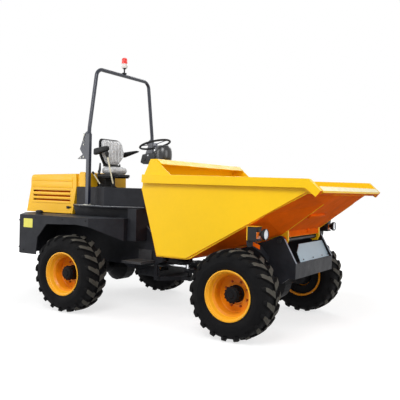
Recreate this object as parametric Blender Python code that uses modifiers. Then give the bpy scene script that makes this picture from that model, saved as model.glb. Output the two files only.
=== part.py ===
"""Site dumper: an articulated front tipper on four driven wheels, with a steel skip that tips forward.

Metres, +Z up, +X towards the skip, +Y to the machine's left. Stations along the machine are
measured forward from the rear axle; the origin lies on the floor under the middle of the machine.
"""

import math

import bmesh
import bpy
from mathutils import Matrix, Vector

# Driving dimensions
REAR_AXLE_X = -0.816
WHEELBASE = 2.025
HALF_TRACK = 0.854
GAP = 0.0003
SHEET = 0.012

# Wheels
TYRE_RADIUS = 0.4155
TYRE_WIDTH = 0.307
RIM_RADIUS = 0.2334
RIM_HALF_WIDTH = 0.137
BEAD_RADIUS = 0.2125
DISC_OFFSET = -0.060
DISC_THICK = 0.012
HUB_RADIUS = 0.082
HUB_FACE = 0.072
LUGS_PER_SIDE = 20
LUG_DEPTH = 0.021
AXLE_TUBE_RADIUS = 0.058
DIFFERENTIAL_RADIUS = 0.165
WHEEL_STEPS = 24

# Articulation pivot between the two chassis, as a station
PIVOT = 1.000
PIVOT_PIN_RADIUS = 0.026
PIVOT_CLEARANCE = 0.0008
PIVOT_LOW = 0.340
PIVOT_HIGH = 0.640

# Skip, as stations and heights
SKIP_HALF_WIDTH = 0.874
SKIP_FLOOR_HALF = 0.440
SKIP_TAIL = 1.160
SKIP_TOE = 1.504
SKIP_FLOOR_Z = 0.700
SKIP_KNEE = 2.290
SKIP_KNEE_Z = 0.965
SKIP_LIP = 2.800
SKIP_LIP_Z = 1.350
SKIP_RIM_LOW = 1.408
SKIP_RIM_HIGH = 1.492
SKIP_RIM_PROUD = 0.045
GUARD_PEAK_Z = 1.635

# Skip pivot, as a station and a height
TIP_PIVOT = 2.300
TIP_PIVOT_Z = 0.900
TIP_PIN_RADIUS = 0.022
TIP_PIN_CLEARANCE = 0.0007

# Front chassis
NOSE_HALF_WIDTH = 0.495
NOSE_PLATE = 0.025
NOSE_FRONT = 2.466
NOSE_REAR = WHEELBASE - 0.465
NOSE_BOX_LOW = 0.552
NOSE_BOX_HIGH = 0.692

# Rear body
TAIL = -1.170
WEIGHT_TOP = 1.018
WEIGHT_HALF_WIDTH = 0.880
WEIGHT_TAIL_HALF = 0.460
HOOD_TAIL = -1.210
HOOD_HALF_WIDTH = 0.400
HOOD_FRONT = -0.380
HOOD_LOW = 1.030
HOOD_HIGH = 1.500
HOOD_PIN = (-1.192, 1.003)
HOOD_PIN_RADIUS = 0.008
PIN_CLEARANCE = 0.0007
COWL_HIGH = 1.530
COWL_FRONT = -0.260
FENDER_HALF_WIDTH = 0.900
FENDER_TAIL = -0.745
FENDER_TOP = 1.022
FENDER_LOW = 0.578
FENDER_KINK = 0.280
FENDER_FRONT = 0.520
DECK_Z = 1.145
DECK_THICK = 0.015
DECK_HALF_WIDTH = 0.630
BOX_HIGH = 1.352
BOX_FRONT = 0.665
WELL_REAR = 0.200

# Roll bar
POST_Y = 0.590
POST_X = -0.015
POST_SIZE = 0.042
HOOP_TUBE_RADIUS = 0.0215
HOOP_JOINT_Z = 1.950
HOOP_TOP_Z = 2.700
HOOP_PIN = (POST_X - 0.055, HOOP_JOINT_Z - 0.012)
HOOP_TOP_HALF = 0.477

# Cylinders, as stations, half distances and heights
TIP_BASE = (SKIP_TOE - 0.304, 0.450)
TIP_EYE = (2.120, 0.850)
TIP_BARREL_LENGTH = 0.600
STEER_BASE = (0.450, 0.200)
STEER_EYE = (1.100, 0.200)
STEER_Z = 0.520
CYLINDER_PIN_RADIUS = 0.012
STEER_BARREL_LENGTH = 0.400


def station(x):
    """World X of a station measured forward from the rear axle."""
    return REAR_AXLE_X + x


# Start from an empty scene
for old in list(bpy.data.objects):
    bpy.data.objects.remove(old, do_unlink=True)
PARTS = bpy.data.collections.new("site_dumper")
CUTTERS = bpy.data.collections.new("cutters")
for collection in (PARTS, CUTTERS):
    bpy.context.scene.collection.children.link(collection)


# Materials
def paint(name, colour, roughness, metallic=0.0):
    """A Principled BSDF in one linear colour."""
    material = bpy.data.materials.new(name)
    material.use_nodes = True
    shader = material.node_tree.nodes["Principled BSDF"]
    shader.inputs["Base Color"].default_value = (*colour, 1.0)
    shader.inputs["Roughness"].default_value = roughness
    shader.inputs["Metallic"].default_value = metallic
    return material


SKIP_YELLOW = paint("skip_yellow", (0.93, 0.62, 0.02), 0.40)
HOOD_YELLOW = paint("hood_yellow", (0.95, 0.48, 0.03), 0.35)
RIM_ORANGE = paint("rim_orange", (0.85, 0.35, 0.01), 0.40)
CHASSIS = paint("chassis_grey", (0.020, 0.022, 0.028), 0.45)
TYRE = paint("tyre_rubber", (0.012, 0.012, 0.012), 0.85)
BLACK = paint("black_plastic", (0.015, 0.015, 0.018), 0.50)
SEAT = paint("seat_vinyl", (0.45, 0.46, 0.47), 0.55)
PLATE = paint("pale_plate", (0.36, 0.43, 0.50), 0.40, 0.6)
STEEL = paint("bright_steel", (0.60, 0.60, 0.62), 0.25, 1.0)
RED = paint("red_lens", (0.60, 0.03, 0.02), 0.25)


# Shapes
def place(mesh, name, material=None, matrix=None):
    """Put a mesh into the scene as a named object, with its place in the mesh."""
    if matrix is not None:
        mesh.transform(matrix)
    obj = bpy.data.objects.new(name, mesh)
    PARTS.objects.link(obj)
    if material is not None:
        mesh.materials.clear()
        mesh.materials.append(material)
    return obj


def finish_bmesh(bm, name, material=None, matrix=None):
    bm.normal_update()
    bmesh.ops.recalc_face_normals(bm, faces=bm.faces)
    mesh = bpy.data.meshes.new(name)
    bm.to_mesh(mesh)
    bm.free()
    return place(mesh, name, material, matrix)


def block(name, low, high, material=None):
    """A box between two corners, given as station, y and z."""
    low = Vector((station(low[0]), low[1], low[2]))
    high = Vector((station(high[0]), high[1], high[2]))
    bm = bmesh.new()
    bmesh.ops.create_cube(bm, size=1.0)
    bmesh.ops.scale(bm, vec=high - low, verts=bm.verts)
    bmesh.ops.translate(bm, vec=(high + low) / 2, verts=bm.verts)
    return finish_bmesh(bm, name, material)


def rod(name, start, end, radius, material=None, sides=16, end_radius=None):
    """A round bar between two points, given as station, y and z."""
    start = Vector((station(start[0]), start[1], start[2]))
    end = Vector((station(end[0]), end[1], end[2]))
    along = end - start
    bm = bmesh.new()
    bmesh.ops.create_cone(
        bm,
        cap_ends=True,
        segments=sides,
        radius1=radius,
        radius2=radius if end_radius is None else end_radius,
        depth=along.length,
    )
    turn = along.to_track_quat("Z", "Y").to_matrix().to_4x4()
    bm.transform(Matrix.Translation((start + end) / 2) @ turn)
    return finish_bmesh(bm, name, material)


def rounded(points, radius, steps=3):
    """An outline with its corners rounded: points are (a, b) or (a, b, own radius)."""
    out = []
    count = len(points)
    for i, point in enumerate(points):
        here = Vector(point[:2])
        own = point[2] if len(point) > 2 else radius
        before = Vector(points[i - 1][:2]) - here
        after = Vector(points[(i + 1) % count][:2]) - here
        if own <= 0:
            out.append(tuple(here))
            continue
        angle = before.angle(after)
        cut = min(own / math.tan(angle / 2), 0.45 * before.length, 0.45 * after.length)
        first = here + before.normalized() * cut
        last = here + after.normalized() * cut
        for step in range(steps + 1):
            t = step / steps
            out.append(tuple(first * (1 - t) ** 2 + here * 2 * t * (1 - t) + last * t**2))
    return out


AXES = {
    "XZ": Matrix(((1, 0, 0, 0), (0, 0, -1, 0), (0, 1, 0, 0), (0, 0, 0, 1))),
    "XY": Matrix.Identity(4),
    "YZ": Matrix(((0, 0, 1, 0), (1, 0, 0, 0), (0, 1, 0, 0), (0, 0, 0, 1))),
}


def plate(name, points, low, high, plane="XZ", material=None):
    """A flat outline with thickness: a filled 2D curve, made a mesh and turned into its plane."""
    curve = bpy.data.curves.new(name, "CURVE")
    curve.dimensions = "2D"
    curve.fill_mode = "BOTH"
    curve.extrude = abs(high - low) / 2
    spline = curve.splines.new("POLY")
    spline.points.add(len(points) - 1)
    shift = REAR_AXLE_X if plane in ("XZ", "XY") else 0.0
    for corner, (a, b) in zip(spline.points, points):
        corner.co = (a + shift, b, 0.0, 1.0)
    spline.use_cyclic_u = True
    guide = bpy.data.objects.new(name, curve)
    PARTS.objects.link(guide)
    graph = bpy.context.evaluated_depsgraph_get()
    mesh = bpy.data.meshes.new_from_object(guide.evaluated_get(graph))
    bpy.data.objects.remove(guide, do_unlink=True)
    bm = bmesh.new()
    bm.from_mesh(mesh)
    bmesh.ops.remove_doubles(bm, verts=bm.verts, dist=1e-5)
    middle = (low + high) / 2
    offset = {"XZ": (0, middle, 0), "XY": (0, 0, middle), "YZ": (station(middle), 0, 0)}[plane]
    bm.transform(Matrix.Translation(offset) @ AXES[plane])
    return finish_bmesh(bm, name, material)


def turned(name, profile, centre, axis="Y", side=1, material=None, steps=WHEEL_STEPS):
    """A profile of (radius, offset) revolved by a Screw about an axis through centre."""
    centre = Vector((station(centre[0]), centre[1], centre[2]))
    mesh = bpy.data.meshes.new(name)
    closed = profile[0][0] > 1e-6
    edges = [(i, i + 1) for i in range(len(profile) - 1)]
    if closed:
        edges.append((len(profile) - 1, 0))
    mesh.from_pydata([(r, 0.0, a) for r, a in profile], edges, [])
    guide = bpy.data.objects.new(name, mesh)
    PARTS.objects.link(guide)
    screw = guide.modifiers.new("Turn", "SCREW")
    screw.axis = "Z"
    screw.angle = 2 * math.pi
    screw.steps = steps
    screw.render_steps = steps
    screw.use_merge_vertices = True
    screw.merge_threshold = 1e-5
    graph = bpy.context.evaluated_depsgraph_get()
    solid = bpy.data.meshes.new_from_object(guide.evaluated_get(graph))
    bpy.data.objects.remove(guide, do_unlink=True)
    bm = bmesh.new()
    bm.from_mesh(solid)
    bmesh.ops.remove_doubles(bm, verts=bm.verts, dist=1e-6)
    target = {"X": Vector((side, 0, 0)), "Y": Vector((0, side, 0)), "Z": Vector((0, 0, side))}[axis]
    turn = target.to_track_quat("Z", "Y").to_matrix().to_4x4()
    bm.transform(Matrix.Translation(centre) @ turn)
    return finish_bmesh(bm, name, material)


def sweep(name, points, radius, material=None, resolution=2, square=False):
    """A bar along a route of (station, y, z): a curve with a bevel, made a mesh."""
    curve = bpy.data.curves.new(name, "CURVE")
    curve.dimensions = "3D"
    curve.bevel_depth = radius
    curve.bevel_resolution = 0 if square else resolution
    curve.use_fill_caps = True
    spline = curve.splines.new("POLY")
    spline.points.add(len(points) - 1)
    for corner, (x, y, z) in zip(spline.points, points):
        corner.co = (station(x), y, z, 1.0)
    guide = bpy.data.objects.new(name, curve)
    PARTS.objects.link(guide)
    graph = bpy.context.evaluated_depsgraph_get()
    mesh = bpy.data.meshes.new_from_object(guide.evaluated_get(graph))
    bpy.data.objects.remove(guide, do_unlink=True)
    bm = bmesh.new()
    bm.from_mesh(mesh)
    bmesh.ops.remove_doubles(bm, verts=bm.verts, dist=1e-5)
    return finish_bmesh(bm, name, material)


def as_helper(obj):
    PARTS.objects.unlink(obj)
    CUTTERS.objects.link(obj)
    obj.hide_render = True
    obj.display_type = "WIRE"


def combine(base, others, operation):
    for other in others:
        modifier = base.modifiers.new(other.name, "BOOLEAN")
        modifier.operation = operation
        modifier.solver = "EXACT"
        modifier.object = other
        as_helper(other)
    return base


def fuse(base, *others):
    return combine(base, others, "UNION")


def cut(base, *others):
    return combine(base, others, "DIFFERENCE")


def mirrored(points):
    """The same half outline on both sides of the centre line, in order."""
    return points + [(a, -b) for a, b in reversed(points)]


# Wheels
TREAD_RADIUS = TYRE_RADIUS - LUG_DEPTH
# One half of the tyre's section, from the crown to the bead: radius, offset, and the bars' lag in degrees.
TYRE_ROWS = [
    (TREAD_RADIUS, 0.004, 0.0),
    (TREAD_RADIUS - 0.001, 0.056, 3.5),
    (TREAD_RADIUS - 0.012, 0.112, 10.0),
    (0.3420, 0.1450, 14.5),
    (0.2780, TYRE_WIDTH / 2, 15.5),
    (RIM_RADIUS + 0.0012, RIM_HALF_WIDTH - 0.0098, 15.5),
]
# The raised top of a bar over the first three rows: radius and offset.
BAR_TOP = [(TYRE_RADIUS, 0.006), (TYRE_RADIUS, 0.058), (TYRE_RADIUS - 0.007, 0.126)]
BAR_NARROWING = 0.68

RIM_PROFILE = [
    (RIM_RADIUS, RIM_HALF_WIDTH),
    (RIM_RADIUS, 0.1276),
    (0.2120, 0.1220),
    (0.2050, 0.0600),
    (0.1850, 0.0450),
    (0.1850, -0.0500),
    (0.2050, -0.0650),
    (0.2120, -0.1220),
    (RIM_RADIUS, -0.1276),
    (RIM_RADIUS, -RIM_HALF_WIDTH),
    (0.2200, -RIM_HALF_WIDTH),
    (0.1950, -0.0700),
    (0.1730, -0.0550),
    (0.1730, DISC_OFFSET),
    (0.0600, DISC_OFFSET),
    (0.0600, DISC_OFFSET + DISC_THICK),
    (0.1730, DISC_OFFSET + DISC_THICK),
    (0.1730, 0.0480),
    (0.1950, 0.0640),
    (0.2200, RIM_HALF_WIDTH),
]
HUB_PROFILE = [
    (0.0, HUB_FACE + 0.006),
    (0.030, HUB_FACE + 0.006),
    (0.034, HUB_FACE),
    (HUB_RADIUS - 0.010, HUB_FACE),
    (HUB_RADIUS - 0.002, HUB_FACE - 0.008),
    (HUB_RADIUS, HUB_FACE - 0.070),
    (HUB_RADIUS, DISC_OFFSET + DISC_THICK + GAP),
    (0.0594, DISC_OFFSET + DISC_THICK + GAP),
    (0.0594, DISC_OFFSET - GAP),
    (0.110, DISC_OFFSET - GAP),
    (0.110, DISC_OFFSET - 0.022),
    (0.0, DISC_OFFSET - 0.022),
]
AXLE_END = HALF_TRACK + DISC_OFFSET - 0.022 - GAP


def tyre(name, centre):
    """A tyre with two staggered rows of raised bars, whose crown ends lead as the wheel rolls forward."""
    bm = bmesh.new()
    columns = 2 * LUGS_PER_SIDE
    step = 360 / columns
    x0, y0, z0 = station(centre[0]), centre[1], centre[2]

    def vertex(degrees, radius, offset):
        angle = math.radians(degrees)
        return bm.verts.new((x0 + radius * math.sin(angle), y0 + offset, z0 + radius * math.cos(angle)))

    rows = [(radius, -offset, lag) for radius, offset, lag in reversed(TYRE_ROWS)] + TYRE_ROWS
    grid = []
    for radius, offset, lag in rows:
        grid.append([vertex(column * step - lag, radius, offset) for column in range(columns)])
    crown = len(TYRE_ROWS)
    for column in range(columns):
        after = (column + 1) % columns
        bar_side = 1 if column % 2 else -1
        covered = range(crown, crown + 3) if bar_side > 0 else range(crown - 4, crown - 1)
        for row in range(len(rows)):
            if row not in covered:
                below = (row + 1) % len(rows)
                bm.faces.new((grid[row][column], grid[row][after], grid[below][after], grid[below][column]))
        base = [grid[crown + i] if bar_side > 0 else grid[crown - 1 - i] for i in range(4)]
        middle = (column + 0.5) * step
        half = step / 2 * BAR_NARROWING
        top = []
        for (radius, offset), (low_radius, low_offset, lag) in zip(BAR_TOP, TYRE_ROWS):
            top.append([vertex(middle - lag + edge, radius, bar_side * offset) for edge in (-half, half)])
        sheets = [
            (base[0][column], base[0][after], top[0][1], top[0][0]),
            (top[2][0], top[2][1], base[3][after], base[3][column]),
            (base[2][column], top[2][0], base[3][column]),
            (base[2][after], base[3][after], top[2][1]),
        ]
        for i in range(2):
            sheets.append((top[i][0], top[i][1], top[i + 1][1], top[i + 1][0]))
            sheets.append((base[i][column], top[i][0], top[i + 1][0], base[i + 1][column]))
            sheets.append((base[i][after], base[i + 1][after], top[i + 1][1], top[i][1]))
        for sheet in sheets:
            bm.faces.new(sheet)
    bmesh.ops.triangulate(bm, faces=bm.faces)
    return finish_bmesh(bm, name, TYRE)


def wheel(name, axle_station, side):
    centre = (axle_station, side * HALF_TRACK, TYRE_RADIUS)
    tyre("tyre_" + name, centre)
    turned("rim_" + name, RIM_PROFILE, centre, "Y", side, RIM_ORANGE)
    turned("hub_" + name, HUB_PROFILE, centre, "Y", side, BLACK, 16)


def axle(name, axle_station):
    profile = [
        (0.0, AXLE_END),
        (0.095, AXLE_END),
        (0.095, AXLE_END - 0.120),
        (AXLE_TUBE_RADIUS, AXLE_END - 0.150),
        (AXLE_TUBE_RADIUS, 0.200),
        (DIFFERENTIAL_RADIUS, 0.080),
        (DIFFERENTIAL_RADIUS, -0.080),
        (AXLE_TUBE_RADIUS, -0.200),
        (AXLE_TUBE_RADIUS, -AXLE_END + 0.150),
        (0.095, -AXLE_END + 0.120),
        (0.095, -AXLE_END),
        (0.0, -AXLE_END),
    ]
    return turned("axle_" + name, profile, (axle_station, 0, TYRE_RADIUS), "Y", 1, CHASSIS, 16)


WHEELS = [
    ("front_left", WHEELBASE, 1),
    ("front_right", WHEELBASE, -1),
    ("rear_left", 0.0, 1),
    ("rear_right", 0.0, -1),
]
for wheel_name, wheel_station, wheel_side in WHEELS:
    wheel(wheel_name, wheel_station, wheel_side)


def axle_pads(axle_object, axle_station, half, high):
    """Two seats on the housing that bolt under the chassis plates."""
    for side in (-1, 1):
        seat = block(
            "axle_pad",
            (axle_station - 0.075, side * half - 0.030, TYRE_RADIUS),
            (axle_station + 0.075, side * half + 0.030, high),
        )
        fuse(axle_object, seat)


FRONT_SEAT_Z = 0.500
REAR_SEAT_Z = 0.500
RAIL_Y = 0.330
axle_pads(axle("front", WHEELBASE), WHEELBASE, NOSE_HALF_WIDTH - NOSE_PLATE / 2, FRONT_SEAT_Z - GAP)
axle_pads(axle("rear", 0.0), 0.0, RAIL_Y, REAR_SEAT_Z - GAP)


# Front chassis
def under_skip(x):
    """Height of the skip's underside beside the nose plates."""
    return SKIP_FLOOR_Z + (x - SKIP_TOE) * (SKIP_KNEE_Z - SKIP_FLOOR_Z) / (SKIP_KNEE - SKIP_TOE)


def front_frame():
    crown = 0.045
    arc = [
        (TIP_PIVOT + crown * math.cos(math.radians(a)), TIP_PIVOT_Z + crown * math.sin(math.radians(a)))
        for a in (25, 45, 65, 85, 105)
    ]
    outline = [
        (NOSE_REAR, FRONT_SEAT_Z),
        (2.330, FRONT_SEAT_Z),
        (2.400, NOSE_BOX_LOW),
        (NOSE_FRONT, NOSE_BOX_LOW),
        (NOSE_FRONT, NOSE_BOX_HIGH),
        *arc,
        (2.180, under_skip(2.180) - 0.035),
        (NOSE_REAR + 0.140, under_skip(NOSE_REAR + 0.140) - 0.030),
        (NOSE_REAR, SKIP_FLOOR_Z - 0.010),
    ]
    sides = []
    for side in (-1, 1):
        low = side * NOSE_HALF_WIDTH
        high = side * (NOSE_HALF_WIDTH - NOSE_PLATE)
        panel = plate("nose_side", outline, min(low, high), max(low, high), "XZ")
        hole = rod(
            "pin_hole",
            (TIP_PIVOT, low - side * 0.05, TIP_PIVOT_Z),
            (TIP_PIVOT, low + side * 0.05, TIP_PIVOT_Z),
            TIP_PIN_RADIUS + GAP,
        )
        cut(panel, hole)
        sides.append(panel)
    inner = NOSE_HALF_WIDTH - NOSE_PLATE / 2
    frame = plate(
        "front_frame",
        [
            (NOSE_FRONT, NOSE_BOX_LOW),
            (NOSE_FRONT, NOSE_BOX_HIGH),
            (NOSE_FRONT - 0.070, NOSE_BOX_HIGH),
            (NOSE_FRONT - 0.070, NOSE_BOX_LOW),
        ],
        -inner,
        inner,
        "XZ",
        CHASSIS,
    )
    cross = block(
        "cross",
        (NOSE_REAR - 0.020, -NOSE_HALF_WIDTH, 0.440),
        (NOSE_REAR + 0.040, NOSE_HALF_WIDTH, 0.660),
    )
    beam = block("beam", (PIVOT + 0.130, -0.110, 0.400), (NOSE_REAR + 0.020, 0.110, 0.580))
    tongue = plate(
        "tongue",
        [(PIVOT - 0.050, -0.050), (PIVOT - 0.050, 0.050), (1.150, 0.100), (1.150, -0.100)],
        0.430,
        0.550,
        "XY",
    )
    horns = plate(
        "horns",
        [(1.060, -0.235), (1.060, 0.235), (1.140, 0.235), (1.260, 0.090), (1.260, -0.090), (1.140, -0.235)],
        STEER_Z - 0.045,
        STEER_Z - 0.025,
        "XY",
    )
    slot_outline = [(1.130, 0.385), (1.240, 0.385), (1.640, 0.540), (1.640, 0.700), (1.130, 0.700)]
    slot = plate("tip_slot", slot_outline, -0.052, 0.052, "XZ")
    fuse(frame, *sides, cross, beam, tongue, horns)
    cut(frame, slot)
    x, z = TIP_BASE
    fuse(frame, rod("tip_pin", (x, -0.060, z), (x, 0.060, z), CYLINDER_PIN_RADIUS))
    bore = rod("pivot_bore", (PIVOT, 0, 0.3), (PIVOT, 0, 0.7), PIVOT_PIN_RADIUS + PIVOT_CLEARANCE)
    cut(frame, bore)
    return frame


front_frame()
rod(
    "skip_pivot_pin",
    (TIP_PIVOT, -NOSE_HALF_WIDTH - 0.012, TIP_PIVOT_Z),
    (TIP_PIVOT, NOSE_HALF_WIDTH + 0.012, TIP_PIVOT_Z),
    TIP_PIN_RADIUS,
    STEEL,
)
rod(
    "articulation_pin",
    (PIVOT, 0, PIVOT_LOW - 0.012),
    (PIVOT, 0, PIVOT_HIGH + 0.012),
    PIVOT_PIN_RADIUS,
    STEEL,
)

# Pale cover between the nose plates: flat, leaning back from the bumper to the pin, open at its right end
COVER_FOOT = (NOSE_FRONT - 0.024, NOSE_BOX_HIGH + GAP)
COVER_HEAD = (2.358, 0.852)


def nose_cover():
    half = NOSE_HALF_WIDTH - NOSE_PLATE - 0.003
    low, high = COVER_FOOT[1], COVER_HEAD[1]
    outline = [(-0.311, low), (half, low), (half, high), (-0.165, high), (-0.291, 0.781)]
    cover = plate("nose_cover", outline, COVER_FOOT[0] - 0.008, COVER_FOOT[0], "YZ", PLATE)
    lean = (COVER_HEAD[0] - COVER_FOOT[0]) / (high - low)
    for corner in cover.data.vertices:
        corner.co.x += (corner.co.z - low) * lean


nose_cover()


# Skip
def skip_side(name, side):
    """A side wall with its box rim, peak end and slanted spout end."""
    outline = [
        (SKIP_TAIL, SKIP_FLOOR_Z),
        (SKIP_TOE, SKIP_FLOOR_Z),
        (SKIP_LIP - 0.110, 1.358),
        (SKIP_LIP, SKIP_LIP_Z),
        (2.822, 1.390),
        (2.730, SKIP_RIM_HIGH - 0.020),
        (1.300, SKIP_RIM_HIGH),
        (1.135, GUARD_PEAK_Z),
        (1.055, GUARD_PEAK_Z),
        (0.986, SKIP_RIM_HIGH),
        (0.980, SKIP_RIM_LOW),
        (0.959, 1.350),
    ]
    low, high = side * (SKIP_HALF_WIDTH - SHEET), side * SKIP_HALF_WIDTH
    wall = plate(name, outline, min(low, high), max(low, high), "XZ", SKIP_YELLOW)
    rim_outline = [
        (0.986, SKIP_RIM_LOW + 0.010),
        (1.010, SKIP_RIM_LOW),
        (2.700, SKIP_RIM_LOW - 0.012),
        (2.796, 1.322),
        (2.840, 1.374),
        (2.730, SKIP_RIM_HIGH - 0.018),
        (1.300, SKIP_RIM_HIGH + 0.001),
        (0.992, SKIP_RIM_HIGH + 0.001),
    ]
    near, far = side * (SKIP_HALF_WIDTH - 0.004), side * (SKIP_HALF_WIDTH + SKIP_RIM_PROUD)
    band = plate("rim_band", rim_outline, min(near, far), max(near, far), "XZ")
    return fuse(wall, band)


for skip_side_name, skip_side_sign in (("skip_side_left", 1), ("skip_side_right", -1)):
    skip_side(skip_side_name, skip_side_sign)


def skip_tub():
    """Rear wall with its bent spill guard, floor and lip: one folded sheet between the sides."""
    edge = SKIP_HALF_WIDTH - SHEET - GAP
    fold = SKIP_FLOOR_HALF
    # Rows of the half sheet from the guard's free edge to the lip: (station, z at the middle, z at the side).
    rows = [
        (1.180, 1.590, 1.590),
        (1.130, GUARD_PEAK_Z, GUARD_PEAK_Z),
        (1.060, GUARD_PEAK_Z, GUARD_PEAK_Z),
        (0.972, 1.400, 1.400),
        (0.972, 1.350, 1.350),
        (SKIP_TAIL, SKIP_FLOOR_Z, SKIP_FLOOR_Z),
        (SKIP_TOE, SKIP_FLOOR_Z, SKIP_FLOOR_Z),
        (SKIP_KNEE, SKIP_KNEE_Z, 1.149),
        (2.690, 1.267, 1.358),
        (SKIP_LIP, SKIP_LIP_Z, SKIP_LIP_Z + 0.012),
    ]
    bm = bmesh.new()
    grid = []
    for x, middle, outer in rows:
        line = ((0.0, middle), (fold, middle), (edge + 0.020, outer))
        grid.append([bm.verts.new((station(x), y, z)) for y, z in line])
    for first, second in zip(grid, grid[1:]):
        for i in range(2):
            bm.faces.new((first[i], first[i + 1], second[i + 1], second[i]))
    bmesh.ops.triangulate(bm, faces=bm.faces)
    mesh = bpy.data.meshes.new("skip_tub")
    bm.to_mesh(mesh)
    bm.free()
    tub = place(mesh, "skip_tub", SKIP_YELLOW)
    mirror = tub.modifiers.new("Mirror", "MIRROR")
    mirror.use_axis = (False, True, False)
    mirror.use_clip = True
    mirror.merge_threshold = 1e-5
    wall = tub.modifiers.new("Wall", "SOLIDIFY")
    wall.thickness = SHEET
    wall.offset = 1.0
    wall.use_even_offset = True
    trim = block("between_sides", (0.5, -edge, 0.5), (3.2, edge, 2.0))
    combine(tub, [trim], "INTERSECT")
    lip = plate(
        "lip",
        [
            (SKIP_LIP - 0.030, SKIP_LIP_Z + 0.004),
            (SKIP_LIP - 0.012, SKIP_LIP_Z - 0.012),
            (2.842, 1.358),
            (2.842, 1.374),
            (2.800, 1.414),
            (2.784, 1.408),
        ],
        -edge + 0.001,
        edge - 0.001,
        "XZ",
    )
    ears = []
    for side in (-1, 1):
        y_in, y_out = side * 0.395, side * 0.420
        ear = plate(
            "hinge_ear",
            [
                (TIP_PIVOT - 0.170, under_skip(TIP_PIVOT - 0.170) + 0.006),
                (TIP_PIVOT - 0.060, TIP_PIVOT_Z - 0.020),
                (TIP_PIVOT - 0.020, TIP_PIVOT_Z - 0.048),
                (TIP_PIVOT + 0.030, TIP_PIVOT_Z - 0.042),
                (TIP_PIVOT + 0.050, TIP_PIVOT_Z),
                (TIP_PIVOT + 0.045, SKIP_KNEE_Z + 0.045),
                (SKIP_KNEE, SKIP_KNEE_Z + 0.006),
            ],
            min(y_in, y_out),
            max(y_in, y_out),
            "XZ",
        )
        hole = rod(
            "ear_hole",
            (TIP_PIVOT, side * 0.37, TIP_PIVOT_Z),
            (TIP_PIVOT, side * 0.45, TIP_PIVOT_Z),
            TIP_PIN_RADIUS + TIP_PIN_CLEARANCE,
        )
        cut(ear, hole)
        ears.append(ear)
    box_front = plate(
        "hinge_box_front",
        [
            (TIP_PIVOT + 0.030, TIP_PIVOT_Z + 0.027),
            (TIP_PIVOT + 0.036, TIP_PIVOT_Z + 0.027),
            (TIP_PIVOT + 0.036, TIP_PIVOT_Z + 0.104),
            (TIP_PIVOT + 0.030, TIP_PIVOT_Z + 0.100),
        ],
        -0.419,
        0.419,
        "XZ",
    )
    lugs = []
    for side in (-1, 1):
        x, z = TIP_EYE
        y_in, y_out = side * 0.032, side * 0.050
        lug = plate(
            "tip_lug",
            [
                (x - 0.070, under_skip(x - 0.070) + 0.006),
                (x - 0.030, z - 0.028),
                (x + 0.030, z - 0.028),
                (x + 0.070, under_skip(x + 0.070) + 0.006),
            ],
            min(y_in, y_out),
            max(y_in, y_out),
            "XZ",
        )
        lugs.append(lug)
    return fuse(tub, lip, *ears, box_front, *lugs)


skip_tub()


# Cylinders
def cylinder(name, base, eye, barrel_length, barrel_radius, rod_radius, piston_at, base_half, flat):
    """A barrel open at its gland end and a rod with an eye, between two points; flat is the eyes' axis."""
    base = Vector(base)
    eye = Vector(eye)
    along = (eye - base).normalized()
    total = (eye - base).length
    frame = along.to_track_quat("Z", "Y").to_matrix().to_4x4()
    frame = Matrix.Translation(Vector((station(base[0]), base[1], base[2]))) @ frame
    wall = 0.007

    def ring(suffix, profile, material, steps=16):
        mesh_object = turned(name + suffix, profile, (-REAR_AXLE_X, 0, 0), "Z", 1, material, steps)
        mesh_object.data.transform(frame)
        return mesh_object

    barrel = ring(
        "_barrel",
        [
            (0.0, barrel_length),
            (0.0, 0.040),
            (barrel_radius, 0.040),
            (barrel_radius, barrel_length),
            (rod_radius + 0.0008, barrel_length),
            (rod_radius + 0.0008, barrel_length - 0.030),
            (barrel_radius - wall, barrel_length - 0.030),
            (barrel_radius - wall, 0.060),
            (0.0, 0.060),
        ][1:],
        CHASSIS,
    )
    shaft = ring(
        "_rod",
        [
            (0.0, total - 0.020),
            (rod_radius, total - 0.020),
            (rod_radius, piston_at + 0.030),
            (barrel_radius - wall - 0.0006, piston_at + 0.030),
            (barrel_radius - wall - 0.0006, piston_at),
            (0.0, piston_at),
        ],
        STEEL,
    )
    for owner, at, radius, reach in (
        (barrel, base, 0.030, base_half),
        (shaft, eye, 0.026, 0.022),
    ):
        offset = Vector(flat) * reach
        fuse(owner, rod("eye", at - offset, at + offset, radius))
    fuse(barrel, rod("neck", base, base + along * 0.050, 0.022))
    reach = Vector(flat) * (base_half + 0.010)
    cut(barrel, rod("eye_bore", base - reach, base + reach, CYLINDER_PIN_RADIUS + PIN_CLEARANCE))
    return barrel, shaft


cylinder(
    "tip_cylinder",
    (TIP_BASE[0], 0.0, TIP_BASE[1]),
    (TIP_EYE[0], 0.0, TIP_EYE[1]),
    TIP_BARREL_LENGTH,
    0.042,
    0.022,
    0.120,
    0.048,
    (0, 1, 0),
)
for steer_name, steer_side in (("left", 1), ("right", -1)):
    cylinder(
        "steer_cylinder_" + steer_name,
        (STEER_BASE[0], steer_side * STEER_BASE[1], STEER_Z),
        (STEER_EYE[0], steer_side * STEER_EYE[1], STEER_Z),
        STEER_BARREL_LENGTH,
        0.034,
        0.016,
        0.185,
        0.022,
        (0, 0, 1),
    )


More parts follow.
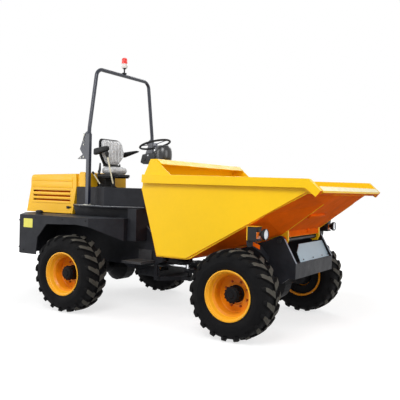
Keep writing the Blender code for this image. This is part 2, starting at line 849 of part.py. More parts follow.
# Rear chassis
def rear_frame():
    rail_outline = [
        (TAIL + 0.130, REAR_SEAT_Z),
        (0.330, REAR_SEAT_Z),
        (0.380, STEER_Z - 0.055),
        (0.560, STEER_Z - 0.055),
        (0.860, 0.560),
        (0.860, 0.700),
        (0.560, FENDER_TOP - SHEET - GAP),
        (TAIL + 0.130, FENDER_TOP - SHEET - GAP),
    ]
    inner = RAIL_Y - 0.010 - GAP
    frame = block("rear_frame", (0.480, -inner, 0.640), (0.560, inner, DECK_Z - DECK_THICK - GAP), CHASSIS)
    rails = []
    for side in (-1, 1):
        low, high = side * (RAIL_Y - 0.012), side * (RAIL_Y + 0.012)
        rails.append(plate("rail", rail_outline, min(low, high), max(low, high), "XZ"))
    riser = block("riser", (-0.340, -inner, 0.900), (-0.280, inner, DECK_Z - DECK_THICK - GAP))
    low_cross = block("low_cross", (0.200, -RAIL_Y, REAR_SEAT_Z + 0.010), (0.260, RAIL_Y, 0.700))
    sump_plate = block("sump_plate", (-0.980, -RAIL_Y, 0.585), (-0.450, RAIL_Y, 0.600))
    yokes = []
    for low, high in ((PIVOT_HIGH - 0.040, PIVOT_HIGH), (PIVOT_LOW, PIVOT_LOW + 0.040)):
        nose = [(0.760, 0.300), (PIVOT - 0.060, 0.085), (PIVOT + 0.040, 0.055)]
        yokes.append(plate("yoke", mirrored(nose), low, high, "XY"))
    back = block("yoke_back", (0.740, -RAIL_Y, PIVOT_LOW + 0.010), (0.780, RAIL_Y, 0.690))
    ears = []
    for side in (-1, 1):
        for low, high in ((STEER_Z + 0.028, STEER_Z + 0.044), (STEER_Z - 0.044, STEER_Z - 0.028)):
            ear = [
                (0.400, side * (STEER_BASE[1] - 0.040)),
                (0.482, side * (STEER_BASE[1] - 0.040)),
                (0.482, side * RAIL_Y),
                (0.400, side * RAIL_Y),
            ]
            ears.append(plate("steer_ear", ear, low, high, "XY"))
    windows = []
    for side in (-1, 1):
        near, far = side * 0.110, side * 0.312
        low = (0.730, min(near, far), STEER_Z - 0.075)
        windows.append(block("window", low, (0.790, max(near, far), STEER_Z + 0.075)))
    pins = []
    for side in (-1, 1):
        x, y = STEER_BASE[0], side * STEER_BASE[1]
        pins.append(rod("steer_pin", (x, y, STEER_Z - 0.043), (x, y, STEER_Z + 0.043), CYLINDER_PIN_RADIUS))
    fuse(frame, *rails, riser, low_cross, sump_plate, back, *yokes, *ears, *pins)
    cut(frame, *windows)
    cut(frame, rod("pivot_bore", (PIVOT, 0, 0.3), (PIVOT, 0, 0.7), PIVOT_PIN_RADIUS + GAP))
    return frame


rear_frame()

block("engine_block", (-0.980, -0.240, 0.600 + GAP), (-0.525, 0.240, 1.300), CHASSIS)


def counterweight():
    """A cast block with chamfered corners round the engine bay, with two ears for the hood's pin."""
    outer = [(FENDER_TAIL - GAP, WEIGHT_HALF_WIDTH), (-0.790, WEIGHT_HALF_WIDTH), (TAIL, WEIGHT_TAIL_HALF)]
    weight = plate("counterweight", mirrored(outer), FENDER_LOW, WEIGHT_TOP, "XY", CHASSIS)
    bay_half = RAIL_Y + 0.012 + GAP
    bay = block("engine_bay", (TAIL + 0.130 - GAP, -bay_half, 0.5), (-0.7, bay_half, 1.1))
    cut(weight, bay)
    x, z = HOOD_PIN
    for side in (-1, 1):
        for inner in (0.178, 0.242):
            low, high = side * inner, side * (inner + 0.020)
            outline = [
                (TAIL + 0.010, z - 0.040),
                (x - 0.014, z - 0.014),
                (x - 0.014, WEIGHT_TOP),
                (TAIL + 0.010, WEIGHT_TOP),
            ]
            fuse(weight, plate("hood_ear", outline, min(low, high), max(low, high), "XZ"))
    cut(weight, rod("ear_bore", (x, -0.3, z), (x, 0.3, z), HOOD_PIN_RADIUS + GAP))
    return weight


counterweight()
rod("hood_pin", (HOOD_PIN[0], -0.270, HOOD_PIN[1]), (HOOD_PIN[0], 0.270, HOOD_PIN[1]), HOOD_PIN_RADIUS, STEEL)


def fender(name, side):
    """Tail plate, arched side, top and slanted front wall of one rear wing."""
    arch = [
        (-0.500, FENDER_LOW),
        (-0.474, 0.780),
        (-0.340, 0.930),
        (0.107, 0.945),
        (FENDER_KINK, 0.930),
    ]
    side_outline = [
        (FENDER_TAIL, FENDER_LOW),
        *arch,
        (FENDER_KINK, FENDER_TOP),
        (FENDER_TAIL, FENDER_TOP),
    ]
    outer = side * FENDER_HALF_WIDTH
    inner = side * (FENDER_HALF_WIDTH - SHEET)
    wing = plate(name, side_outline, min(outer, inner), max(outer, inner), "XZ", CHASSIS)
    root = RAIL_Y - 0.010
    outside_rail = RAIL_Y + 0.012 + GAP
    top = plate(
        "wing_top",
        [
            (FENDER_TAIL, side * root),
            (FENDER_TAIL, outer),
            (FENDER_KINK, outer),
            (FENDER_FRONT, side * 0.600),
            (FENDER_FRONT, side * root),
        ],
        FENDER_TOP - SHEET,
        FENDER_TOP,
        "XY",
    )
    tail = block(
        "wing_tail",
        (FENDER_TAIL, min(side * outside_rail, outer), FENDER_LOW),
        (FENDER_TAIL + SHEET, max(side * outside_rail, outer), FENDER_TOP),
    )
    bm = bmesh.new()
    front_wall = [
        (FENDER_KINK, 0.930, FENDER_TOP),
        (FENDER_FRONT, 0.780, FENDER_TOP),
    ]
    corners = []
    for (x, low, high), y in zip(front_wall, (FENDER_HALF_WIDTH, 0.600)):
        for z in (low, high):
            for depth in (0.0, SHEET):
                corners.append(bm.verts.new((station(x - depth), side * (y - depth * 0.8), z)))
    bmesh.ops.convex_hull(bm, input=corners)
    slant = finish_bmesh(bm, "wing_slant")
    front = block(
        "wing_front",
        (FENDER_FRONT - SHEET, min(side * outside_rail, side * 0.600), 0.780),
        (FENDER_FRONT, max(side * outside_rail, side * 0.600), FENDER_TOP),
    )
    return fuse(wing, top, tail, slant, front)


for fender_name, fender_side in (("fender_left", 1), ("fender_right", -1)):
    fender(fender_name, fender_side)


# Hood and cowl
def hood():
    half = HOOD_HALF_WIDTH
    skin = [
        (HOOD_TAIL, HOOD_LOW, 0),
        (-1.140, 1.340, 0.06),
        (-1.138, 1.490, 0.06),
        (HOOD_FRONT, HOOD_HIGH + 0.006, 0),
        (HOOD_FRONT + 0.004, 1.343, 0),
        (HOOD_FRONT - 0.053, HOOD_LOW, 0),
    ]
    lining = [
        (HOOD_TAIL + SHEET - 0.0025, HOOD_LOW - 0.010, 0),
        (-1.140 + SHEET, 1.340, 0.05),
        (-1.138 + SHEET, 1.490 - SHEET, 0.05),
        (HOOD_FRONT - SHEET, HOOD_HIGH + 0.006 - SHEET, 0),
        (HOOD_FRONT + 0.004 - SHEET, 1.343, 0),
        (HOOD_FRONT - 0.055 - SHEET, HOOD_LOW - 0.010, 0),
    ]
    shell = plate("hood", rounded(skin, 0.0), -half, half, "XZ", HOOD_YELLOW)
    inside = plate("hood_inside", rounded(lining, 0.0), -half + SHEET, half - SHEET, "XZ")
    slots = []
    for z in (1.175, 1.226, 1.280):
        slots.append(block("hood_slot", (-1.100, -half - 0.05, z), (-0.470, half + 0.05, z + 0.020)))
    cut(shell, inside, *slots)
    x, z = HOOD_PIN
    for side in (-1, 1):
        low, high = side * 0.203, side * 0.237
        outline = [
            (x - 0.013, HOOD_LOW + 0.012),
            (x + 0.013, HOOD_LOW + 0.012),
            (x + 0.013, z - 0.012),
            (x - 0.012, z - 0.012),
        ]
        knuckle = plate("knuckle", outline, min(low, high), max(low, high), "XZ")
        fuse(shell, knuckle)
    return cut(shell, rod("knuckle_bore", (x, -0.3, z), (x, 0.3, z), HOOD_PIN_RADIUS + PIN_CLEARANCE))


hood()
plate(
    "engine_cowl",
    rounded(
        [
            (HOOD_FRONT + 0.014, BOX_HIGH + GAP, 0),
            (HOOD_FRONT + 0.014, 1.490, 0.01),
            (HOOD_FRONT + 0.045, COWL_HIGH, 0.02),
            (COWL_FRONT, COWL_HIGH - 0.004, 0.02),
            (COWL_FRONT + 0.006, BOX_HIGH + GAP, 0),
        ],
        0.0,
    ),
    -0.380,
    0.380,
    "XZ",
    HOOD_YELLOW,
)


# Operator's platform
def platform():
    half = [(HOOD_FRONT + 0.014, 0.400), (0.190, 0.555), (BOX_FRONT, 0.425)]
    body = plate("operator_platform", mirrored(half), DECK_Z - 0.002, BOX_HIGH, "XY", CHASSIS)
    well = block(
        "foot_well",
        (WELL_REAR, -0.330, DECK_Z + 0.014),
        (BOX_FRONT - 0.015, 0.330, BOX_HIGH + 0.05),
    )
    cut(body, well)
    deck_half = [
        (HOOD_FRONT + 0.014, 0.460),
        (-0.100, DECK_HALF_WIDTH),
        (0.340, DECK_HALF_WIDTH),
        (0.670, 0.450),
    ]
    deck = plate("deck", mirrored(deck_half), DECK_Z - DECK_THICK, DECK_Z, "XY")
    return fuse(body, deck)


platform()
for tank_name, tank_side in (("fuel_tank", -1), ("hydraulic_tank", 1)):
    y_in, y_out = tank_side * (RAIL_Y + 0.012 + GAP), tank_side * 0.540
    block(
        tank_name,
        (FENDER_FRONT + GAP, min(y_in, y_out), 0.780),
        (0.640, max(y_in, y_out), DECK_Z - DECK_THICK - GAP),
        CHASSIS,
    )

# Steps below the deck, on hangers from the rails
for step_name, step_side in (("step_left", 1), ("step_right", -1)):
    y_in, y_out = step_side * (RAIL_Y + 0.012 + GAP), step_side * 0.600
    tread = block(
        step_name,
        (0.500, min(y_in, y_out), 0.545),
        (0.760, max(y_in, y_out), 0.570),
        CHASSIS,
    )
    hanger = block(
        "step_hanger",
        (0.540, min(y_in, y_in + step_side * 0.012), 0.550),
        (0.720, max(y_in, y_in + step_side * 0.012), 0.680),
    )
    fuse(tread, hanger)

# Seat, a little towards the levers from the centre line
SEAT_Y = -0.100
SEAT_X = -0.040
SEAT_Z = 1.510


def seat():
    """Pedestal with a pan, a cushion with round ends and a shell-shaped back, which narrows to its foot."""
    pan = plate(
        "seat_base",
        [
            (SEAT_X - 0.125, SEAT_Y - 0.180),
            (SEAT_X + 0.090, SEAT_Y - 0.170),
            (SEAT_X + 0.130, SEAT_Y - 0.110),
            (SEAT_X + 0.130, SEAT_Y + 0.110),
            (SEAT_X + 0.090, SEAT_Y + 0.170),
            (SEAT_X - 0.125, SEAT_Y + 0.180),
        ],
        SEAT_Z - 0.032,
        SEAT_Z - GAP,
        "XY",
        BLACK,
    )
    pedestal = block(
        "pedestal",
        (SEAT_X - 0.200, SEAT_Y - 0.085, BOX_HIGH + GAP),
        (SEAT_X - 0.065, SEAT_Y + 0.085, SEAT_Z - 0.020),
    )
    fuse(pan, pedestal)
    half_long, half_wide = 0.112, 0.172
    cushion = [
        (SEAT_X - half_long, SEAT_Y - half_wide),
        (SEAT_X + half_long, SEAT_Y - half_wide),
        (SEAT_X + half_long, SEAT_Y + half_wide),
        (SEAT_X - half_long, SEAT_Y + half_wide),
    ]
    plate("seat_cushion", rounded(cushion, 0.085, 5), SEAT_Z, SEAT_Z + 0.088, "XY", SEAT)
    foot = SEAT_Z + 0.088 + GAP
    front_view = [
        (SEAT_Y - 0.125, foot, 0.02),
        (SEAT_Y - 0.200, foot + 0.150, 0.10),
        (SEAT_Y - 0.195, foot + 0.345, 0.06),
        (SEAT_Y + 0.195, foot + 0.345, 0.06),
        (SEAT_Y + 0.200, foot + 0.150, 0.10),
        (SEAT_Y + 0.125, foot, 0.02),
    ]
    side_view = [
        (SEAT_X - 0.050, foot - 0.010),
        (SEAT_X - 0.026, foot + 0.150),
        (SEAT_X - 0.080, foot + 0.350),
        (SEAT_X - 0.145, foot + 0.350),
        (SEAT_X - 0.130, foot + 0.150),
        (SEAT_X - 0.118, foot - 0.010),
    ]
    back = plate("seat_back", rounded(front_view, 0.0, 4), SEAT_X - 0.300, SEAT_X + 0.200, "YZ", SEAT)
    combine(back, [plate("back_section", side_view, SEAT_Y - 0.300, SEAT_Y + 0.300, "XZ")], "INTERSECT")


seat()

# Steering column and wheel
COLUMN_FOOT = (0.560, 0.0, DECK_Z + 0.014 + GAP)
WHEEL_CENTRE = (0.468, 0.0, 1.867)
WHEEL_TILT = math.radians(16)
WHEEL_SHAFT = 0.080
SHAFT_RADIUS = 0.012


def on_shaft(distance):
    """A point on the steering shaft, measured down from the wheel's centre."""
    return (
        WHEEL_CENTRE[0] + math.sin(WHEEL_TILT) * distance,
        0.0,
        WHEEL_CENTRE[2] - math.cos(WHEEL_TILT) * distance,
    )


def steering_wheel():
    section = [(0.165, 0.0), (0.172, 0.012), (0.184, 0.012), (0.190, 0.0), (0.184, -0.012), (0.172, -0.012)]
    rim = turned("steering_wheel", section, (0, 0, 0), "Z", 1, BLACK, 30)
    spokes = []
    for degrees in (90, 210, 330):
        c, s = math.cos(math.radians(degrees)), math.sin(math.radians(degrees))
        spokes.append(rod("spoke", (c * 0.02, s * 0.02, 0), (c * 0.176, s * 0.176, 0), 0.008, None, 7))
    boss = rod("boss", (0, 0, -WHEEL_SHAFT), (0, 0, 0.012), 0.030)
    shaft = rod("shaft", (0, 0, -WHEEL_SHAFT - 0.060), (0, 0, 0), SHAFT_RADIUS)
    move = (
        Matrix.Translation((station(WHEEL_CENTRE[0]), 0, WHEEL_CENTRE[2]))
        @ Matrix.Rotation(-WHEEL_TILT, 4, "Y")
        @ Matrix.Translation((-station(0), 0, 0))
    )
    for piece in (rim, *spokes, boss, shaft):
        piece.data.transform(move)
    return fuse(rim, *spokes, boss, shaft)


steering_wheel()


def steering_column():
    """A shrouded column with the rounded instrument housing before it and the key switch's bracket behind."""
    foot = Vector(COLUMN_FOOT)
    up = Vector((0, 0, 1))
    column = rod("steering_column", foot, foot + 0.050 * up, 0.082, BLACK)
    shroud = rod("column_shroud", foot + 0.030 * up, on_shaft(WHEEL_SHAFT + 0.018), 0.080, None, 16, 0.062)
    housing = turned(
        "instrument_housing",
        [
            (0.0, 0.100),
            (0.045, 0.094),
            (0.080, 0.066),
            (0.100, 0.020),
            (0.100, -0.020),
            (0.080, -0.066),
            (0.045, -0.094),
            (0.0, -0.100),
        ],
        (0.592, 0.0, 1.757),
        "Z",
        1,
        None,
        14,
    )
    bracket = plate(
        "switch_bracket",
        [(0.338, 1.748), (0.312, 1.655), (0.345, 1.640), (0.520, 1.660), (0.520, 1.760), (0.440, 1.764)],
        -0.070,
        0.070,
        "XZ",
    )
    fuse(column, shroud, housing, bracket)
    cut(column, rod("boss_room", on_shaft(-0.040), on_shaft(WHEEL_SHAFT + 0.012), 0.037))
    first, last = on_shaft(WHEEL_SHAFT - 0.040), on_shaft(WHEEL_SHAFT + 0.065)
    return cut(column, rod("column_bore", first, last, SHAFT_RADIUS + PIN_CLEARANCE))


steering_column()


# Roll bar
def roll_bar():
    reach = POST_SIZE / 2
    for name, side in (("roll_post_left", 1), ("roll_post_right", -1)):
        post = block(
            name,
            (POST_X - reach, side * POST_Y - reach, DECK_Z + GAP),
            (POST_X + reach, side * POST_Y + reach, HOOP_JOINT_Z),
            CHASSIS,
        )
        low, high = side * (POST_Y + reach - 0.012), side * (POST_Y + reach)
        gusset = plate(
            "gusset",
            [
                (POST_X - 0.010, HOOP_JOINT_Z - 0.285),
                (POST_X - 0.150, HOOP_JOINT_Z - 0.282),
                (POST_X - 0.075, HOOP_JOINT_Z - 0.230),
                (POST_X - 0.118, HOOP_JOINT_Z - 0.170),
                (POST_X - 0.050, HOOP_JOINT_Z),
                (POST_X - 0.010, HOOP_JOINT_Z),
            ],
            min(low, high),
            max(low, high),
            "XZ",
        )
        x, z = HOOP_PIN
        ears = []
        for inner in (-reach, reach - 0.011):
            y = side * POST_Y
            ears.append(
                plate(
                    "hoop_ear",
                    [
                        (POST_X - reach + 0.006, z - 0.050),
                        (x - 0.014, z - 0.018),
                        (x - 0.014, z + 0.016),
                        (POST_X - reach + 0.006, z + 0.010),
                    ],
                    y + inner,
                    y + inner + 0.011,
                    "XZ",
                )
            )
        y = side * POST_Y
        pin = rod("hoop_pin", (x, y - 0.026, z), (x, y + 0.026, z), HOOD_PIN_RADIUS)
        fuse(post, gusset, *ears, pin)
    hoop = sweep(
        "roll_hoop",
        [
            (POST_X, -POST_Y, HOOP_JOINT_Z + 0.0008),
            (POST_X, -POST_Y, HOOP_JOINT_Z + 0.060),
            (POST_X, -HOOP_TOP_HALF - 0.020, HOOP_TOP_Z - 0.090),
            (POST_X, -HOOP_TOP_HALF + 0.020, HOOP_TOP_Z - 0.020),
            (POST_X, -HOOP_TOP_HALF + 0.090, HOOP_TOP_Z),
            (POST_X, HOOP_TOP_HALF - 0.090, HOOP_TOP_Z),
            (POST_X, HOOP_TOP_HALF - 0.020, HOOP_TOP_Z - 0.020),
            (POST_X, HOOP_TOP_HALF + 0.020, HOOP_TOP_Z - 0.090),
            (POST_X, POST_Y, HOOP_JOINT_Z + 0.060),
            (POST_X, POST_Y, HOOP_JOINT_Z + 0.0008),
        ],
        HOOP_TUBE_RADIUS,
        CHASSIS,
    )
    x, z = HOOP_PIN
    knuckle_outline = [
        (POST_X - 0.015, HOOP_JOINT_Z + 0.045),
        (POST_X - 0.015, HOOP_JOINT_Z + 0.008),
        (x + 0.026, HOOP_JOINT_Z + 0.006),
        (x + 0.014, z - 0.002),
        (x + 0.004, z - 0.014),
        (x - 0.012, z - 0.012),
        (x - 0.012, z + 0.016),
    ]
    for y in (-POST_Y, POST_Y):
        fuse(hoop, plate("hoop_knuckle", knuckle_outline, y - 0.007, y + 0.007, "XZ"))
        cut(hoop, rod("hoop_bore", (x, y - 0.03, z), (x, y + 0.03, z), HOOD_PIN_RADIUS + PIN_CLEARANCE))
    return hoop


roll_bar()
turned(
    "beacon",
    [
        (0.0, 0.2180),
        (0.0240, 0.2150),
        (0.0330, 0.2040),
        (0.0345, 0.1460),
        (0.0365, 0.1420),
        (0.0365, 0.0920),
        (0.0110, 0.0860),
        (0.0110, HOOP_TUBE_RADIUS + 0.0175),
        (0.0300, HOOP_TUBE_RADIUS + 0.0150),
        (0.0300, HOOP_TUBE_RADIUS + 0.0005),
        (0.0, HOOP_TUBE_RADIUS + 0.0005),
    ],
    (POST_X, 0.0, HOOP_TOP_Z),
    "Z",
    1,
    RED,
    12,
)

# Levers beside the seat, on one quadrant plate
levers = block("control_levers", (-0.060, -0.420, BOX_HIGH + GAP), (0.200, -0.340, BOX_HIGH + 0.012), BLACK)
fuse(
    levers,
    rod("lever_a", (0.180, -0.380, BOX_HIGH + 0.007), (0.080, -0.380, 1.710), 0.010, None, 8),
    rod("lever_b", (0.000, -0.380, BOX_HIGH + 0.007), (-0.130, -0.380, 1.530), 0.010, None, 8),
)

# Filler cap on the wing
turned(
    "filler_cap",
    [(0.0, 0.050), (0.030, 0.050), (0.036, 0.012), (0.050, 0.0), (0.0, 0.0)],
    (-0.600, -0.760, FENDER_TOP + GAP),
    "Z",
    1,
    BLACK,
    12,
)

# Headlamps on hangers from the nose plates
LAMP_IN = 0.850
LAMP_OUT = 0.960
LAMP_BACK = 2.196


def headlamp(name, side):
    """A folded hanger that climbs behind the lamp, and the lamp's housing with its round reflector."""
    outline = [
        (side * (NOSE_HALF_WIDTH + GAP), 0.680),
        (side * 0.640, 0.780),
        (side * LAMP_IN, 0.862),
        (side * (LAMP_OUT - 0.020), 0.862),
        (side * LAMP_OUT, 0.885),
        (side * LAMP_OUT, 1.046),
        (side * LAMP_IN, 1.046),
        (side * LAMP_IN, 0.930),
        (side * 0.660, 0.845),
        (side * (NOSE_HALF_WIDTH + GAP), 0.745),
    ]
    hanger = plate("lamp_bracket_" + name, outline, LAMP_BACK - 0.007, LAMP_BACK, "YZ", SKIP_YELLOW)
    y_in, y_out = side * LAMP_IN, side * LAMP_OUT
    low, high = min(y_in, y_out), max(y_in, y_out)
    fuse(hanger, block("lamp_shade", (LAMP_BACK - 0.007, low, 1.041), (2.284, high, 1.046)))
    box = block(
        "headlamp_" + name,
        (LAMP_BACK + GAP, low, 0.920),
        (2.286, high, 1.041 - GAP),
        BLACK,
    )
    y_middle = (y_in + y_out) / 2
    fuse(box, rod("lamp_barrel", (2.270, y_middle, 0.975), (2.350, y_middle, 0.975), 0.050))


headlamp("left", 1)
headlamp("right", -1)


# Origins of the moving pieces, on their joints' axes
def move_origin(name, x, y, z):
    """The shape stays in place while its origin goes to a point on the axis that it turns about."""
    piece = bpy.data.objects[name]
    point = Vector((station(x), y, z))
    piece.data.transform(Matrix.Translation(-point))
    piece.location = point


for wheel_name, wheel_station, wheel_side in WHEELS:
    for prefix in ("tyre_", "rim_", "hub_"):
        move_origin(prefix + wheel_name, wheel_station, wheel_side * HALF_TRACK, TYRE_RADIUS)
for skip_piece in ("skip_tub", "skip_side_left", "skip_side_right"):
    move_origin(skip_piece, TIP_PIVOT, 0.0, TIP_PIVOT_Z)
for front_piece in ("front_frame", "nose_cover", "axle_front", "skip_pivot_pin"):
    move_origin(front_piece, PIVOT, 0.0, PIVOT_HIGH)
for lamp_name in ("left", "right"):
    move_origin("lamp_bracket_" + lamp_name, PIVOT, 0.0, PIVOT_HIGH)
    move_origin("headlamp_" + lamp_name, PIVOT, 0.0, PIVOT_HIGH)
for cylinder_name, (x, y, z) in (
    ("tip_cylinder", (TIP_BASE[0], 0.0, TIP_BASE[1])),
    ("steer_cylinder_left", (STEER_BASE[0], STEER_BASE[1], STEER_Z)),
    ("steer_cylinder_right", (STEER_BASE[0], -STEER_BASE[1], STEER_Z)),
):
    move_origin(cylinder_name + "_barrel", x, y, z)
    move_origin(cylinder_name + "_rod", x, y, z)
move_origin("hood", HOOD_PIN[0], 0.0, HOOD_PIN[1])
move_origin("roll_hoop", HOOP_PIN[0], 0.0, HOOP_PIN[1])
move_origin("beacon", HOOP_PIN[0], 0.0, HOOP_PIN[1])
move_origin("steering_wheel", *WHEEL_CENTRE)
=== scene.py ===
"""Looks of the site dumper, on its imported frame. Metres, +Z up, the dumper faces +X."""
import math

import bmesh
import bpy
from mathutils import Matrix, Vector
from mathutils.bvhtree import BVHTree


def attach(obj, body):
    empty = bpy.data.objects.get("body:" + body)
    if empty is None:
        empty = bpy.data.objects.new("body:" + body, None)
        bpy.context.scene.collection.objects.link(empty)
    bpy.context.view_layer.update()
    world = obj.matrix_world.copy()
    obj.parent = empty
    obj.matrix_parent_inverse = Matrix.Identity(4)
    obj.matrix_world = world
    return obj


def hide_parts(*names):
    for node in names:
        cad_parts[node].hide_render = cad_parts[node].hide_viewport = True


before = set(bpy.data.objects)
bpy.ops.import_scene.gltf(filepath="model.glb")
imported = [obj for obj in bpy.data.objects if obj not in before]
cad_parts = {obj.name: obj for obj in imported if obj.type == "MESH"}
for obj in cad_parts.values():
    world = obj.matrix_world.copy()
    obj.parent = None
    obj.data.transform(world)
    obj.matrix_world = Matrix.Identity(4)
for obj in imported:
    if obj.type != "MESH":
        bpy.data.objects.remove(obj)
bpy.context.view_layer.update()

# Stations are measured forward from the rear axle
REAR_AXLE_X = -0.816
WHEELBASE = 2.025
HALF_TRACK = 0.854
TYRE_RADIUS = 0.4155
SKIP_PIN = (2.3, 0.9)
FENDER_SIDE = 0.9
DECK_TOP = 1.147
HOOD_SLOTS = (1.175, 1.226, 1.28)


def at(x, y, z):
    """A point, with x measured forward from the rear axle."""
    return Vector((x + REAR_AXLE_X, y, z))


# Colours and nodes
def tone(code):
    """An sRGB hex colour as linear RGBA."""
    channels = [int(code[i : i + 2], 16) / 255 for i in (0, 2, 4)]
    linear = [c / 12.92 if c <= 0.04045 else ((c + 0.055) / 1.055) ** 2.4 for c in channels]
    return (*linear, 1.0)


def grey(level):
    """An even grey as linear RGBA."""
    return (level, level, level, 1.0)


def tinted(colour, factor):
    """A colour made darker or lighter."""
    return (*(min(1.0, c * factor) for c in colour[:3]), 1.0)


NODE_OPTIONS = ("data_type", "blend_type", "operation", "feature", "wave_type", "bands_direction")


def add(tree, kind, stops=(), **settings):
    """Adds a node. A setting is an option, a socket's value, or what to link to it. Stops colour a ramp."""
    node = tree.nodes.new("ShaderNode" + kind)
    for index, (position, colour) in enumerate(stops):
        band = node.color_ramp.elements
        stop = band[index] if index < len(band) else band.new(position)
        stop.position = position
        stop.color = colour
    for key, value in settings.items():
        if key in NODE_OPTIONS:
            setattr(node, key, value)
            continue
        numbered = key[0] == "i" and key[1:].isdigit()
        socket = node.inputs[int(key[1:]) if numbered else key.replace("_", " ")]
        if isinstance(value, bpy.types.Node):
            value = value.outputs[0]
        if isinstance(value, bpy.types.NodeSocket):
            tree.links.new(value, socket)
        else:
            socket.default_value = value
    return node


def blank_material(name):
    """A material without nodes, and its tree."""
    material = bpy.data.materials.new(name)
    material.use_nodes = True
    material.node_tree.nodes.clear()
    return material, material.node_tree


def surface(name, colour, roughness, metallic=0.0, coat=0.0, shade=0.06, patch=500.0, gloss_spread=0.08,
            relief=(), dust=0.0, dust_colour="b9b1a2", specular=0.5):
    """Paint, metal, rubber or a moulding: changes of shade, uneven gloss, relief, settled dust.

    Sizes are in millimetres: a patch of shade across, and the grain and the height of each relief.
    """
    material, tree = blank_material(name)
    place = add(tree, "TexCoord").outputs["Object"]
    base = tone(colour)
    patches = 1000 / patch
    slow = add(tree, "TexNoise", Vector=place, Scale=patches, Detail=5.0, Roughness=0.6)
    darker, lighter = tinted(base, 1 - shade), tinted(base, 1 + shade * 0.7)
    body = add(tree, "ValToRGB", i0=slow, stops=[(0.3, darker), (0.7, lighter)])
    fine = add(tree, "TexNoise", Vector=place, Scale=patches * 23, Detail=3.0)
    grain = add(tree, "ValToRGB", i0=fine, stops=[(0.35, grey(1 - shade * 0.6)), (0.65, grey(1.0))])
    skin = add(tree, "Mix", data_type="RGBA", blend_type="MULTIPLY", i0=0.5, i6=body, i7=grain).outputs[2]
    if dust:
        up = add(tree, "SeparateXYZ", Vector=add(tree, "NewGeometry").outputs["Normal"]).outputs["Z"]
        level = add(tree, "ValToRGB", i0=up, stops=[(0.3, grey(0.12)), (0.95, grey(1.0))])
        drift = add(tree, "TexNoise", Vector=place, Scale=6.0, Detail=6.0, Roughness=0.7)
        drifts = add(tree, "ValToRGB", i0=drift, stops=[(0.4, grey(0.15)), (0.75, grey(1.0))])
        lying = add(tree, "Math", operation="MULTIPLY", i0=level, i1=drifts)
        amount = add(tree, "Math", operation="MULTIPLY", i0=lying, i1=dust)
        skin = add(tree, "Mix", data_type="RGBA", i0=amount, i6=skin, i7=tone(dust_colour)).outputs[2]
    wear = add(tree, "TexNoise", Vector=place, Scale=9.0, Detail=6.0, Roughness=0.65)
    glossy, dull = max(0.02, roughness - gloss_spread), min(1.0, roughness + gloss_spread)
    gloss = add(tree, "ValToRGB", i0=wear, stops=[(0.3, grey(glossy)), (0.7, grey(dull))])
    normal = {}
    for size, height in relief:
        bumps = add(tree, "TexNoise", Vector=place, Scale=1000 / size, Detail=3.0, Roughness=0.5)
        normal = {"Normal": add(tree, "Bump", Strength=1.0, Distance=height / 1000, Height=bumps, **normal)}
    shader = add(tree, "BsdfPrincipled", Base_Color=skin, Metallic=metallic, Roughness=gloss,
                 Coat_Weight=coat, Coat_Roughness=0.12, Specular_IOR_Level=specular, **normal)
    add(tree, "OutputMaterial", Surface=shader)
    return material


# Two-pack enamel sprayed on plate steel: even and bright, with slight orange peel and slow waves
SKIP_PAINT = surface("yellow_two_pack_enamel", "f9c803", 0.42, coat=0.1, shade=0.05, patch=769,
                     relief=((3.85, 0.4), (143, 1.0)), specular=0.3)
HOOD_PAINT = surface("amber_two_pack_enamel", "ffc11c", 0.38, coat=0.12, shade=0.05, patch=625,
                     relief=((3.57, 0.3), (167, 0.8)), specular=0.3)
# Stoved enamel on pressed wheels in two copies: a deeper orange with painted shade for the disc and well, a
# paler one with painted highlight on the flange; a little dust on the well's upward faces
WHEEL_PAINT = surface("orange_stoved_enamel", "ee920c", 0.42, coat=0.08, shade=0.07, patch=200,
                      relief=((4.55, 0.4),), dust=0.04, specular=0.3)
RIM_HIGHLIGHT = surface("orange_enamel_painted_highlight", "fdb426", 0.4, coat=0.1, shade=0.06, patch=200,
                   relief=((4.55, 0.4),), specular=0.3)
# Wheel enamel over steel nuts, in a darker brownish copy that paints their shade; blotchy
NUT_SHADE_PAINT = surface("nut_enamel_painted_shade", "b05a12", 0.45, shade=0.2, patch=16.7, relief=((2.0, 0.4),),
                    specular=0.4)
# Painted highlight: a pale streaky cream band along the lip
LIP_HIGHLIGHT = surface("cream_enamel_painted_highlight", "fff0c4", 0.42, coat=0.1, shade=0.16, patch=55.6,
                     relief=((11.1, 0.6),))
# Deep orange painted shade, matt and uneven: under the skip, on its stop bar and hinge front, on the lamp
# arms and behind the hood slots
ORANGE_PAINTED_SHADE = surface("deep_orange_painted_shade", "f06608", 0.75, shade=0.16, patch=250,
                    relief=((3.85, 0.4), (71.4, 1.2)), specular=0.05)
# Powder coat with a fine texture: near black, mixed toward a pale blue-grey on faces that look up
CHARCOAL = surface("charcoal_powder_coat", "1a1b20", 0.5, shade=0.14, patch=333,
                   relief=((1.11, 0.25), (200, 0.6)), dust=0.3, dust_colour="8f949c", specular=0.18)
# Smooth enamel on drawn tube: blue-grey with a long highlight
POST_PAINT = surface("blue_grey_tube_enamel", "1d2231", 0.34, coat=0.25, shade=0.1, patch=111,
                     relief=((1.43, 0.2),), specular=0.4)
# Sand-cast iron under black paint: a rough skin that gives almost no highlight
CAST = surface("painted_cast_iron", "0e0e11", 0.62, shade=0.2, patch=167,
               relief=((2.38, 0.8), (16.7, 0.7)), dust=0.02, specular=0.12)
# Galvanised sheet: pale, cloudy, half metallic; laid along the deck edge it also paints the edge's
# highlight
DECK_SHEET = surface("galvanised_sheet_and_painted_highlight", "c3c7cc", 0.4, metallic=0.2, shade=0.12, patch=71.4,
                     relief=((2.0, 0.3), (14.3, 0.8)))
# Painted highlight: a thin light line along the nose plates' front edges
EDGE_HIGHLIGHT = surface("pale_steel_painted_highlight", "8d97a3", 0.42, metallic=0.3, shade=0.2, patch=33.3,
                    relief=((3.33, 0.3),))
